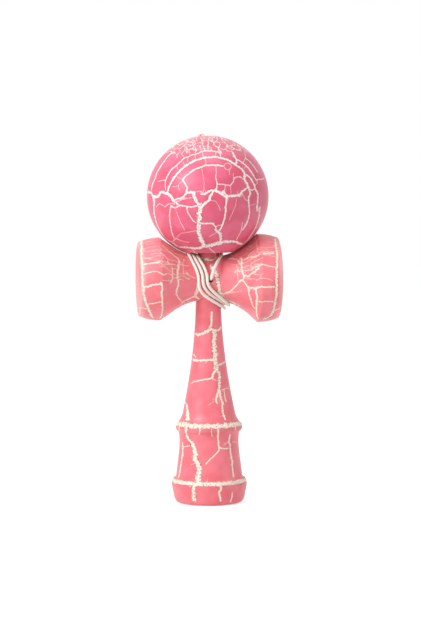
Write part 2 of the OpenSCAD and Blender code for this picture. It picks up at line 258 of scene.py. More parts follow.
def ball_outline(step):
    """Round the ball's outside from the string hole to the catch hole, then back up through the inside."""
    mouth_z = -math.sqrt(BALL_R**2 - CATCH_R**2)
    top_z = math.sqrt(BALL_R**2 - TOP_HOLE_R**2)
    mouth_r = CATCH_R + CATCH_BEVEL * CATCH_FLARE
    top_r = TOP_HOLE_R + TOP_BEVEL * TOP_FLARE
    bevel_end, corner = (CATCH_R, mouth_z + CATCH_BEVEL), (CATCH_R, CATCH_END_Z)
    hole_start, hole_end = (TOP_HOLE_R, CATCH_END_Z), (TOP_HOLE_R, top_z - TOP_BEVEL)
    a = np.linspace(math.asin(top_r / BALL_R), math.pi - math.asin(mouth_r / BALL_R),
                    math.ceil(BALL_R * math.pi / step))
    outside = np.stack([BALL_R * np.sin(a), BALL_R * np.cos(a)], 1)
    bends = [bevel_end, corner, hole_start, hole_end]
    inside = [line(INSIDE_STEPS * step, a, b) for a, b in zip(bends, bends[1:])]
    return joined(outside, line(step, outside[-1], bevel_end), *inside, line(step, hole_end, outside[0])[:-1])


# Meshes

def mesh_object(name, points, faces):
    """A mesh object from points in millimetres."""
    mesh = bpy.data.meshes.new(name)
    mesh.from_pydata((np.asarray(points) * MM).tolist(), [], faces)
    mesh.validate()
    made = bpy.data.objects.new(name, mesh)
    bpy.context.scene.collection.objects.link(made)
    return made


def points_of(obj):
    """The mesh's points in millimetres, as an array."""
    flat = np.zeros(len(obj.data.vertices) * 3, np.float32)
    obj.data.vertices.foreach_get("co", flat)
    return flat.reshape(-1, 3).astype(float) / MM


def turned(name, outline, sides, place, ring=False):
    """A piece turned from an outline, which closes on itself in a ring.

    Place puts radius, height and angle in the frame.
    """
    angles = np.arange(sides) * 2 * math.pi / sides
    points, rows = [], []
    for r, h in outline:
        start = len(points)
        if r < 1e-6:
            points.append(place(0, h, 0))
            rows.append([start] * sides)
        else:
            points += [place(r, h, a) for a in angles]
            rows.append(list(range(start, start + sides)))
    faces = []
    pairs = list(zip(rows, rows[1:])) + ([(rows[-1], rows[0])] if ring else [])
    for low, high in pairs:
        for k in range(sides):
            n = (k + 1) % sides
            face = [low[k], low[n], high[n], high[k]]
            faces.append([i for j, i in enumerate(face) if i != face[j - 1]])
    return mesh_object(name, points, faces)


def upright(middle_z):
    """Places points turned about the handle's axis, with angle 0 on +X."""
    return lambda r, h, a: (r * math.cos(a), r * math.sin(a), middle_z + h)


def sideways(r, x, a):
    """Places points turned about the cross piece's axis, with angle 0 on the crest."""
    return (x, r * math.sin(a), CROSS_Z + r * math.cos(a))


def cut(obj, start, end, start_r, end_r):
    """Bores a round or tapered hole along a line."""
    start, end = Vector(start), Vector(end)
    along = (end - start).normalized()
    turn = along.to_track_quat("Z", "Y").to_matrix()
    middle, length = (start + end) / 2, (end - start).length
    outline = [(0, -length / 2), (start_r, -length / 2), (end_r, length / 2), (0, length / 2)]

    def place(r, h, a):
        return middle + turn @ Vector((r * math.cos(a), r * math.sin(a), h))

    cutter = turned("cutter", outline, CUTTER_SIDES, place)
    hole = obj.modifiers.new("hole", "BOOLEAN")
    hole.object, hole.operation, hole.solver = cutter, "DIFFERENCE", "MANIFOLD"
    apply_modifiers(obj)
    bpy.data.objects.remove(cutter)


def apply_modifiers(obj):
    """Puts the evaluated mesh in the place of the object's own."""
    shown = obj.evaluated_get(bpy.context.evaluated_depsgraph_get())
    mesh = bpy.data.meshes.new_from_object(shown)
    obj.modifiers.clear()
    obj.data = mesh


def smooth(obj, sharp_angle=SHARP_ANGLE):
    """Smooth shading, with edges sharper than the angle kept."""
    obj.data.set_sharp_from_angle(angle=math.radians(sharp_angle))


# String. The points are from the handle's axis, at the height of the cross piece.

LEAD_POINTS = [(0.3, -8.4, 0), (0.3, -10.4, 0.3), (0.5, -12, 1.5), (0.9, -12.8, 3.4), (1.7, -12.6, 5.6),
               (3, -11.2, 8), (4.6, -8.6, 10.2), (6, -5, 11.6), (6.7, -1, 12.2), (6.3, 3, 11.8),
               (4.2, 6, 10.8), (0.8, 7.2, 10.2), (-2.8, 6.6, 10.4), (-5.6, 4.4, 11.6)]
RISER_POINTS = [(7.4, 5, -13.8), (6.6, 9.6, -11.2), (5.2, 13.6, -6), (3.6, 18, 1), (1.8, 22.4, 9),
                (0.2, 26, 17.4), (-1, 28.5, 25.4), (-2, 30.5, 33), (-2.6, 31.5, 41), (-3, 30.5, 49),
                (-3, 27.5, 56.4), (-3, 22.6, 63), (-3, 16.6, 67.8), (-2.8, 10.6, 71), (-2.4, 6.6, 72.2),
                (-1.5, 3.7, 72.2), (-0.8, 1.9, 71.7), (-0.3, 0.6, 70.5)]
STRING_X = 0.3
# How far under the ball's top the drop starts, and how far it runs straight from there
DROP_DEPTH = 2.6
DROP_STRAIGHT = 3
FRONT_PASSES = 3
TURN_PITCH = 2 * STRING_R + TURN_GAP
CREST_PITCH = 2 * STRING_R + CREST_GAP
CREST_X = -(taper_r(CROSS_Z + WAIST_R) + STRING_CLEARANCE + STRING_R)
FRONT_X = -1.7
UNDER_ROOM = 0.8
UNDER_X = taper_r(CROSS_Z - WAIST_R) + STRING_CLEARANCE + STRING_R + UNDER_ROOM + TURN_PITCH
BACK_X = 1
FLAT_CLIMB, UNDER_CLIMB = 180, 90
# Degrees between the winding's points, and points for each span of the whole route
WINDING_STEP = 7.5
SPLINE_STEPS = 8


def winding_point(turn):
    """A point of the winding: phase 0 is on the crest, 90 in front, 180 underneath and 270 at the back."""
    loop = min(FRONT_PASSES - 1, int(turn // 360))
    phase = turn - 360 * loop
    level = math.cos(math.radians(phase)) ** 2
    before, after = [(FRONT_X, CREST_X), (FRONT_X, UNDER_X), (BACK_X, UNDER_X),
                     (BACK_X, CREST_X - CREST_PITCH)][min(3, int(phase // 90))]
    path = before + (after - before) * level
    slope = (after - before) * math.sin(math.radians(2 * phase)) / (WAIST_R + 2 * STRING_R)
    by_crest = level**2 if math.cos(math.radians(phase)) > 0 else 0
    step = (TURN_PITCH + (CREST_PITCH - TURN_PITCH) * by_crest) * math.sqrt(1 + slope**2)
    x, raised = path - loop * step, 0
    if loop == FRONT_PASSES - 1 and 90 < phase <= 180:
        climb = math.radians(FLAT_CLIMB - (FLAT_CLIMB - UNDER_CLIMB) * level)
        x = path - (loop - 1) * step + step * math.cos(climb)
        raised = TURN_PITCH * math.sin(climb)
    reach = waist_at(x) + STRING_CLEARANCE + STRING_R + raised
    angle = math.radians(phase)
    return (x, -reach * math.sin(angle), CROSS_Z + reach * math.cos(angle))


def spline(points, steps):
    """A smooth route through chosen points, with steps points for each span."""
    p = [np.array(q, float) for q in points]
    p = [2 * p[0] - p[1]] + p + [2 * p[-1] - p[-2]]
    route = []
    for a, b, c, d in zip(p, p[1:], p[2:], p[3:]):
        for t in np.arange(steps) / steps:
            route.append(0.5 * (2 * b + (c - a) * t + (2 * a - 5 * b + 4 * c - d) * t**2
                                + (3 * b - a - 3 * c + d) * t**3))
    return np.array(route + [p[-2]])


def spaced(route, step):
    """The route with points an even step apart."""
    away = np.concatenate([[0], np.cumsum(np.linalg.norm(np.diff(route, axis=0), axis=1))])
    marks = np.linspace(0, away[-1], math.ceil(away[-1] / step) + 1)
    return np.stack([np.interp(marks, away, route[:, k]) for k in range(3)], 1)


def string_route():
    """From the handle's bore out of the front hole, round the waist, up behind the ball and to the knot."""
    above = np.array([0, 0, CROSS_Z])
    straight = np.array([0, 2 * STRING_R, 0])
    last_turn = 360 * FRONT_PASSES - 180
    turns = [np.array(winding_point(t)) for t in np.arange(0, last_turn + 1, WINDING_STEP)]
    bore_mouth = np.array([STRING_X, -taper_r(CROSS_Z) - TAPER_CLEARANCE - SEAT_GAP, CROSS_Z])
    drop_top = np.array([0, 0, BALL_Z + BALL_R - DROP_DEPTH])
    drop = [drop_top, drop_top - (0, 0, DROP_STRAIGHT), np.array([0, 0, BEAD_Z + BEAD_R]),
            np.array([0, 0, BEAD_KNOT_Z])]
    points = [bore_mouth, *[above + p for p in LEAD_POINTS], turns[0] + straight, *turns,
              turns[-1] + straight, *[above + p for p in RISER_POINTS], *drop]
    return spaced(spline(points, SPLINE_STEPS), STRING_STEP)


BRAID_STRANDS = 4
BRAID_PITCH = 3.4
BRAID_DEPTH = 0.07
# A direction that no stretch of the string starts in
FIRST_SIDE = (0.31, 0.22, 0.92)
# A knot's points, its height to its width, and how thick its strand is to the string's
KNOT_POINTS, KNOT_HEIGHT, KNOT_STRAND = 160, 1.6, 0.98


def carried_frames(route):
    """Directions along a route, and two directions across it that turn as little as they can."""
    along = np.gradient(route, axis=0)
    along /= np.linalg.norm(along, axis=1)[:, None]
    side = np.array(FIRST_SIDE)
    sides = []
    for direction in along:
        side = side - (side @ direction) * direction
        side = side / np.linalg.norm(side)
        sides.append(side)
    sides = np.array(sides)
    return along, sides, np.cross(along, sides)


def braided(name, route, radius, closed=False):
    """A braided cord along a route: two sets of strands that wind in opposite directions."""
    along, across, up = carried_frames(route)
    away = np.concatenate([[0], np.cumsum(np.linalg.norm(np.diff(route, axis=0), axis=1))])
    angle = np.arange(STRING_SIDES) * 2 * math.pi / STRING_SIDES
    turn = 2 * math.pi * away[:, None] / BRAID_PITCH
    weave = np.cos(BRAID_STRANDS / 2 * angle + turn) * np.cos(BRAID_STRANDS / 2 * angle - turn)
    r = (radius * (1 + BRAID_DEPTH * weave))[..., None]
    spread = np.cos(angle)[:, None] * across[:, None] + np.sin(angle)[:, None] * up[:, None]
    rings = route[:, None] + r * spread
    count = len(route)
    faces = []
    for i in range(count if closed else count - 1):
        low, high = i * STRING_SIDES, (i + 1) % count * STRING_SIDES
        for k in range(STRING_SIDES):
            n = (k + 1) % STRING_SIDES
            faces.append((low + k, low + n, high + n, high + k))
    if not closed:
        faces.append(tuple(range(STRING_SIDES))[::-1])
        faces.append(tuple(range((count - 1) * STRING_SIDES, count * STRING_SIDES)))
    made = mesh_object(name, rings.reshape(-1, 3), faces)
    smooth(made, CORD_SHARP_ANGLE)
    return made


def overhand_knot(name, middle, radius, along):
    """A tightened overhand knot: one strand looped through itself, filling a ball of the radius."""
    t = np.linspace(0, 2 * math.pi, KNOT_POINTS, endpoint=False)
    across, up = np.sin(t) + 2 * np.sin(2 * t), np.cos(t) - 2 * np.cos(2 * t)
    loop = np.stack([across, up, -KNOT_HEIGHT * np.sin(3 * t)], 1)
    loop *= (radius - STRING_R) / 3
    turn = np.array(Vector(along).to_track_quat("Z", "Y").to_matrix())
    return braided(name, np.array(middle) + loop @ turn.T, STRING_R * KNOT_STRAND, closed=True)


# Pieces

def make_handle():
    """The handle with the string's bore and the pocket for its knot."""
    made = turned("handle_turned", handle_outline(HANDLE_STEP), HANDLE_SIDES, upright(0))
    far = 2 * THROAT_R
    cut(made, (0, -far, CROSS_Z), (0, far, CROSS_Z), CROSS_BORE_R, CROSS_BORE_R)
    cut(made, (0, POCKET_FLOOR_Y, CROSS_Z), (0, far, CROSS_Z), POCKET_R, POCKET_R)
    return made


def make_cross_piece():
    """The cross piece with its tapered bore and its front hole."""
    made = turned("cross_turned", cross_outline(CROSS_STEP), CROSS_SIDES, sideways)
    cut(made, (0, 0, THROAT_Z), (0, 0, SPIKE_Z), THROAT_R + TAPER_CLEARANCE, SPIKE_R + TAPER_CLEARANCE)
    cut(made, (0, -2 * WAIST_R, CROSS_Z), (0, 0, CROSS_Z), FRONT_HOLE_R, FRONT_HOLE_R)
    return made


def make_ball():
    """The ball with its catch hole and its string hole."""
    return turned("ball_turned", ball_outline(BALL_STEP)[::-1], BALL_SIDES, upright(BALL_Z), ring=True)


def make_bead():
    """The bead with its bore."""
    edge = math.asin(BEAD_HOLE_R / BEAD_R)
    a = np.linspace(edge, math.pi - edge, BEAD_ROWS)
    outside = np.stack([BEAD_R * np.sin(a), BEAD_R * np.cos(a)], 1)
    bore = line(BEAD_STEP, outside[-1], outside[0])[1:-1]
    outline = np.concatenate([outside, bore])[::-1]
    return turned("bead_turned", outline, BEAD_SIDES, upright(BEAD_Z), ring=True)


handle = make_handle()
cross_piece = make_cross_piece()
ball = make_ball()
bead = make_bead()
for turned_piece in (handle, cross_piece, ball, bead):
    smooth(turned_piece)
route = string_route()
string = braided("string", route, STRING_R)
tail_start = (STRING_X, HANDLE_KNOT_Y - HANDLE_KNOT_R + STRING_R, CROSS_Z)
tail = braided("string_tail_cord", spaced(np.array([tail_start, route[0]]), STRING_STEP), STRING_R)
bead_knot = overhand_knot("bead_knot_tied", (0, 0, BEAD_KNOT_Z), BEAD_KNOT_R, (0, 0, 1))
handle_knot = overhand_knot("handle_knot_tied", (0, HANDLE_KNOT_Y, CROSS_Z), HANDLE_KNOT_R, (0, 1, 0))

# Camera, which stands where the photograph's did
CAMERA_DISTANCE = 1147.8
CAMERA_AZIMUTH, CAMERA_ELEVATION, CAMERA_ROLL = -6.22, 3.0, -0.30
CAMERA_LENS = 131.28
CAMERA_REACH = 20000
AIM_RIGHT, AIM_DOWN = 1.06, 18.45
round_by, up_by = math.radians(CAMERA_AZIMUTH), math.radians(CAMERA_ELEVATION)
back = Vector((math.sin(round_by) * math.cos(up_by), -math.cos(round_by) * math.cos(up_by), math.sin(up_by)))
right = Vector((math.cos(round_by), math.sin(round_by), 0))
middle = Vector((0, 0, CROSS_Z))
camera_place = middle + back * CAMERA_DISTANCE
aim = middle + right * AIM_RIGHT - back.cross(right) * AIM_DOWN
camera = bpy.data.objects.new("camera", bpy.data.cameras.new("camera"))
camera.data.lens = CAMERA_LENS
camera.data.clip_end = CAMERA_REACH * MM
roll = Matrix.Rotation(math.radians(CAMERA_ROLL), 3, "Z")
turn = (aim - camera_place).to_track_quat("-Z", "Y").to_matrix() @ roll
camera.matrix_world = Matrix.Translation(camera_place * MM) @ turn.to_4x4()
bpy.context.scene.collection.objects.link(camera)
bpy.context.scene.camera = camera
bpy.context.scene.view_settings.view_transform = "Standard"

# Cracks in the paint, as seen from the front. Each has its width, or the widths at its start and its end, and
# points to the right of the handle's axis and above its foot, on the plane through both axes.

BALL_CRACKS = [
    # Across the middle, from left to right
    (1.5, [(-30, 155.3), (-28.3, 155), (-27.5, 153.3), (-26, 152.9), (-24.4, 153.3), (-23.9, 154.8),
        (-23, 155.4), (-19.8, 154.2), (-18.6, 153.3), (-17.2, 150.9)]),
    (0.8, [(-17.2, 150.9), (-15.5, 151.8), (-13.4, 152.3), (-12.1, 153), (-10.7, 154.9)]),
    (1.3, [(-10.7, 155.1), (-7.7, 155.1), (-6.7, 154.8)]),
    (0.5, [(-6.5, 155), (-4.4, 155.6), (-2.9, 155.4), (-2.2, 154.7)]),
    ((0.8, 1.4), [(-3.5, 154), (-1.3, 154), (0.2, 155.4), (2, 155.8), (3.7, 155.8), (5.2, 155.3)]),
    (1, [(5.2, 155.3), (6.5, 154.9), (7.9, 155.3)]),
    (1, [(5.4, 155), (7.8, 153.2), (9.1, 152.7)]),
    (1.3, [(9.1, 152.8), (13.9, 153.3), (15.7, 153.2)]),
    (0.9, [(15.7, 153.2), (17.3, 155.3), (19.7, 157), (20.2, 157.8)]),
    (0.5, [(7.9, 155.3), (8.4, 156.2), (8.7, 157.5), (8.7, 158.8)]),
    (0.8, [(7.9, 155.3), (9.6, 153.2)]),
    (0.5, [(-17, 150.2), (-14.6, 150.6), (-12.6, 151.6), (-10.2, 152), (-7.6, 152.6), (-5.6, 152)]),
    (0.5, [(-25.8, 148), (-24.1, 149.7), (-21.3, 147.8), (-19.7, 149.3), (-18.4, 149.7), (-17, 149.6),
        (-15.5, 150)]),
    (0.8, [(-16.9, 150.5), (-15.6, 150), (-15, 149), (-14, 148.5), (-8.2, 147.7), (-4.8, 148.4)]),
    (0.7, [(-18.4, 148.5), (-17.6, 147.8), (-16.3, 147.4), (-14.2, 148.4)]),
    # The wide upright crack and the fork at its top
    ((1.4, 2.2), [(-6.8, 154.8), (-7.1, 153.7), (-6.7, 152.4), (-5.5, 149.9), (-4.5, 148.9), (-3.7, 147.6)]),
    ((2.2, 2.4), [(-3.7, 147.6), (-3.7, 146), (-4.5, 144.2), (-4, 142.6), (-4.8, 140.6), (-4.5, 138.5),
        (-4.8, 136.3), (-4.5, 134.2), (-3.3, 130.9), (-2.2, 129), (-2, 127.9)]),
    ((1.6, 1), [(-3.7, 147.6), (-2.6, 148.3), (-1.6, 149.5), (-0.3, 150.1), (0.9, 151.4), (1.1, 152.7),
        (2, 154), (2.6, 155.5)]),
    # The arc along the bottom
    ((1.2, 1.6), [(-19.1, 130.7), (-17.5, 130), (-15.7, 128.3), (-14.1, 127.6), (-11.5, 127.8),
        (-6.2, 127.1), (-4.1, 127.3), (-2.3, 127.9)]),
    ((1.7, 2.2), [(-2.3, 127.9), (6.4, 129.8)]),
    ((2.2, 1.2), [(6.4, 129.8), (8.5, 130.2), (12.5, 130.4), (14.3, 130), (17.4, 128.9)]),
    (0.6, [(-7.9, 127.2), (-6.5, 124.9), (-5.7, 124.2)]),
    (0.6, [(0.6, 127.4), (1.9, 125.7), (2.4, 124.3)]),
    # Uprights below the middle
    ((1, 0.6), [(-27.3, 153.2), (-26.8, 150.1), (-27, 148), (-26.3, 141.8), (-25.6, 139.4), (-23.5, 135.2),
        (-22, 133.1), (-20.1, 131.3), (-18.8, 130.6)]),
    (0.6, [(-18.5, 148.3), (-19.1, 144.9), (-19.1, 141.8), (-17.2, 132.7)]),
    (0.6, [(-16.3, 132.2), (-17.4, 130.8)]),
    (0.3, [(-15.6, 145.4), (-13.5, 139.7), (-11.7, 136.5)]),
    (0.6, [(-10.6, 147.7), (-10, 144.8), (-8.7, 142.7), (-7.2, 140.8), (-5.8, 139.6)]),
    (0.3, [(-15.6, 132), (-13.5, 131), (-11.4, 130.4), (-9.6, 130.2)]),
    (0.4, [(-15.6, 132.7), (-13.5, 134.7), (-6, 136)]),
    (1.5, [(6.4, 129.9), (6.3, 133.9), (5.6, 134.9), (4.6, 135.4), (4, 136.2)]),
    (0.8, [(4, 136.2), (4, 137.5), (2.5, 139.4), (-3.4, 139.6)]),
    (0.9, [(9.4, 152.6), (9.2, 149), (8.8, 147.5), (8.9, 145.1), (8.5, 142.5), (7.1, 138), (5.3, 135.1)]),
    (0.5, [(4.4, 138), (5.2, 138.5), (6.8, 138.6)]),
    (0.3, [(14.4, 151.7), (13.9, 148.5), (10.7, 141.2)]),
    (0.3, [(1.2, 151), (3.9, 150.4), (4.9, 149.1), (5.7, 147.5), (6.2, 145.9)]),
    (0.3, [(20.9, 148.5), (22.4, 148.5), (24.7, 149.3)]),
    (0.3, [(0.5, 132.8), (4.4, 135)]),
    (0.5, [(17.4, 139.8), (16.6, 135.7), (14.2, 131)]),
    (0.7, [(20.6, 152.2), (20.5, 149.5), (20.9, 146.9), (20.9, 143.8), (20.4, 141.7), (17.8, 136.4)]),
    (0.5, [(16.9, 154.6), (18.9, 151.1), (20.4, 150.5)]),
    (0.8, [(26.2, 147), (24.4, 137.8), (23.2, 135.6), (21.6, 133.3), (20, 131.2), (18.2, 129.3)]),
    # Arcs above the middle
    (1, [(-20.1, 155.2), (-19.5, 157.6), (-15.9, 163.6), (-12, 167.4), (-10.1, 168.8), (-5.9, 170.9),
        (-3.9, 171.6), (-1, 172.2), (4, 172.6), (9.8, 171.2), (17.1, 166.3), (18.3, 164.7), (18.6, 162.9),
        (18.2, 162.1), (18.7, 160.6), (19.5, 159.7), (20.9, 156.3), (21.3, 154.5), (20.6, 152.2)]),
    (0.8, [(-10.5, 155.3), (-10.2, 157.5), (-12.5, 161), (-11.2, 163), (-9.9, 163.8), (-7.8, 165.6),
        (-5.9, 166.6), (-1.5, 168.2), (4.8, 168.5), (8, 167.8)]),
    (0.6, [(-21.1, 160.8), (-20.7, 162), (-18.6, 165.7), (-17.5, 167), (-15.9, 168), (-11.4, 172.2),
        (-9.6, 172.7), (-8, 173.5), (-4.3, 174.5), (-3, 175.4), (3.5, 175.3), (5.6, 174.9), (6.4, 173.9),
        (6.5, 172.1)]),
    (0.5, [(-21.1, 160.8), (-21.1, 156.3)]),
    (0.5, [(-21.1, 160.8), (-22.3, 161.2), (-24.9, 160.4)]),
    (0.5, [(-11.4, 172.2), (-12.7, 173.5), (-12.9, 174.5), (-11.9, 175.3), (-11.4, 176.5)]),
    (0.6, [(-16, 174.5), (-17.5, 174.5), (-19, 173.7), (-20.3, 172.3), (-23.4, 168), (-25.5, 164.6),
        (-26.2, 162.2), (-27.7, 158.9), (-28.2, 156.5)]),
    (0.4, [(-16, 174.5), (-15.1, 173.2), (-15.3, 172)]),
    (0.4, [(-15.1, 173.5), (-13.5, 175.6), (-14.6, 176.9)]),
    (0.45, [(-15.5, 168.3), (-14.9, 166.4)]),
    (0.45, [(-12.2, 169.9), (-11.5, 168.4)]),
    (0.45, [(-10.1, 172.4), (-9.8, 170.3)]),
    (0.45, [(-6.4, 174), (-6, 171)]),
    (0.5, [(-2.7, 175), (-2, 172.1)]),
    (0.5, [(-1.4, 172), (-1, 170.5), (-0.9, 168.6)]),
    (0.45, [(4, 172.5), (4, 174.5)]),
    (0.35, [(-3, 167.2), (-2, 161.7), (-1.8, 156)]),
    (0.4, [(-12.6, 160.7), (-14.3, 159.4), (-14.6, 157.6), (-14.2, 156)]),
    (0.35, [(-17.5, 158), (-15.4, 158), (-14.4, 158.9)]),
    (0.4, [(-15.9, 163.4), (-14, 162), (-12.5, 161.2)]),
    ((0.8, 0.5), [(4.4, 156), (4.5, 157.9), (4.8, 158.9), (3.9, 162.9), (4.4, 165), (4, 168.2)]),
    (0.6, [(4.8, 158.9), (8.3, 158.9), (11.2, 158.2), (12.8, 160), (13.1, 161.6), (13.9, 162.4),
        (16.5, 162.6), (18.5, 161)]),
    (0.4, [(11.3, 158.2), (11.8, 153.5)]),
    (0.4, [(13.1, 161.6), (12.7, 163), (12.9, 164.4)]),
    (0.4, [(8, 167.8), (8.6, 169), (9.6, 169.5), (11, 169.2), (11.9, 168), (11.4, 166.7), (10, 166),
        (8.8, 166.6), (8, 167.8)]),
    (0.4, [(11.1, 166.3), (10.9, 165), (11, 163.8)]),
    (0.7, [(13.2, 173.2), (14.4, 171.4), (15.8, 170.7), (19.5, 168), (20.8, 166.5), (23.7, 162), (24.6, 161),
        (26, 161.4), (27.1, 161.2), (28.2, 162)]),
    (0.9, [(12.7, 174.7), (13.3, 173), (14.4, 171.2), (14.5, 169.7), (13.7, 168.8)]),
    (0.9, [(18.5, 163.8), (19.8, 163.4), (22.1, 161), (23.7, 158.1), (23.9, 156.3), (24.7, 155.3),
        (25.2, 153.7), (25.2, 152), (24.7, 147.7), (24.9, 145.6)]),
    (0.8, [(20.9, 156), (22.3, 155.9), (24, 156.6)]),
    (0.4, [(24, 160.6), (24.9, 160.2), (25.2, 159.5), (23.9, 158.6)]),
    (0.5, [(18.4, 175.6), (19, 172.2), (17.7, 169.4)]),
    (0.5, [(19.1, 171.6), (20.6, 170.7), (23.6, 167.2), (25, 165)]),
    (0.4, [(18.2, 166.5), (19.2, 167.9)]),
]

CROSS_CRACKS = [
    # By the small cup's rim, and in from it
    (1.3, [(-33.1, 130.9), (-33.3, 124.9), (-32.9, 117.6), (-33.1, 115.3), (-33, 111.3), (-32.4, 105),
        (-32, 102.7), (-31.3, 100.4), (-29.7, 96.4), (-27.9, 92.8)]),
    (1, [(-23.5, 109.9), (-23.1, 107.6), (-23.3, 104.9), (-23, 101.9), (-23, 99.3), (-23.4, 93.7),
        (-24.2, 92.4)]),
    (0.9, [(-31.7, 108.3), (-29.7, 108.2), (-28, 109.2), (-25.4, 109.3), (-23.4, 109.8)]),
    (0.7, [(-32.1, 119.4), (-27.5, 120.1), (-23.9, 120.4)]),
    (0.6, [(-32.5, 114.3), (-30.8, 115.1), (-27.8, 115.9), (-25.5, 115.8), (-23.9, 115.1), (-22.6, 114.1),
        (-20.9, 114.4)]),
    (0.6, [(-29.8, 99.7), (-23.8, 100.6)]),
    (0.5, [(-35.3, 98.2), (-33.3, 97.9), (-30.8, 97)]),
    # On the waist by the small cup
    ((1, 0.6), [(-14.5, 121.2), (-15.2, 116.2), (-15.4, 113.2), (-14.9, 110.9), (-15.1, 108.5),
        (-15.9, 106.2), (-16, 104.2), (-13.7, 100.8)]),
    (0.5, [(-18.1, 117.6), (-17.8, 112.3), (-18.3, 110.7), (-19.1, 109.7)]),
    (0.5, [(-20.1, 120.6), (-19.5, 119.6), (-16.1, 118.9)]),
    (0.4, [(-23.1, 128.7), (-16.1, 122.9), (-14.8, 121.6)]),
    (0.4, [(-23.8, 125.1), (-21.8, 123.8), (-20.1, 121.7)]),
    (0.4, [(-11.8, 121.8), (-13, 119.5)]),
    (0.4, [(-15.5, 122.8), (-14.5, 121.4)]),
    (0.4, [(-10.8, 115.4), (-9.5, 113.7), (-8.5, 113), (-6.5, 112.2)]),
    (0.4, [(-23.9, 119.9), (-19.5, 116.2)]),
    # Beside the string and round the handle's hole
    (0.9, [(-4.8, 113.6), (-6.5, 104.7), (-6.2, 103)]),
    (0.9, [(-5, 106.3), (-5.6, 104.6)]),
    (0.9, [(-12.8, 100.3), (-6.5, 103.2), (-4.6, 101.8), (-2.9, 102.1), (0.1, 103.3)]),
    ((2.1, 1.2), [(1.8, 118), (4.6, 112.8), (4.9, 110.1), (5.8, 105.4), (6.7, 103.4), (9.6, 100.7),
        (12.3, 99.7), (15, 98.3)]),
    # On the waist by the large cup
    ((0.9, 0.6), [(16.6, 121.7), (16.8, 119.3), (16.7, 117), (17.2, 115), (18.1, 113), (17.2, 111),
        (19.5, 108.2), (20.1, 106.6), (22.1, 98.8), (23.1, 96.8)]),
    (0.6, [(13.3, 115), (14.6, 116), (16, 115.3)]),
    (0.7, [(16.6, 111.1), (15.2, 109.8), (14.2, 108.4), (11.2, 105.7), (7.5, 104)]),
    (0.4, [(8.2, 104.4), (11.8, 104.7), (16.8, 105.8)]),
    (0.6, [(10.6, 121.7), (12.6, 121.7), (14.3, 121.4), (16.6, 118.7)]),
    (0.3, [(21.7, 119.6), (21.5, 117)]),
    # By the large cup's rim, and in from it
    (1.3, [(33.8, 131.5), (34.2, 128.1), (34.5, 116.5), (34.4, 111.1), (33.5, 98.4), (32.8, 95.7),
        (31.8, 93.4), (29.8, 91.8), (28.4, 91.4)]),
    (0.6, [(36, 96.7), (33.4, 95.4)]),
    ((0.7, 1.1), [(24.1, 107.6), (23.9, 105.3), (24.6, 103), (24.2, 95.6), (24.4, 92.9), (24.7, 91.6)]),
    (0.9, [(20.2, 107.2), (22.5, 107.2), (23.9, 106.7), (25.2, 107.3), (27.2, 107.6), (30.2, 107.4),
        (33.2, 107.5)]),
    (0.6, [(25.1, 100.2), (28.5, 100.3), (33.1, 100)]),
    (0.7, [(18.3, 121.3), (20.3, 122.3), (22.6, 122.6), (25, 123.3), (33, 124.3)]),
    (0.4, [(20.3, 123.3), (21.6, 124.7), (23.6, 125.6)]),
    (0.6, [(21.9, 116.5), (24.3, 117.8), (28.3, 118.6), (30.6, 117.9), (34, 117.2)]),
    (0.7, [(18.6, 113.4), (20, 112.9), (21.3, 114), (23.3, 115), (24.3, 116), (25.7, 116.9)]),
    (0.4, [(24, 110.6), (26, 111.7), (28.3, 112), (32.6, 110.6)]),
]

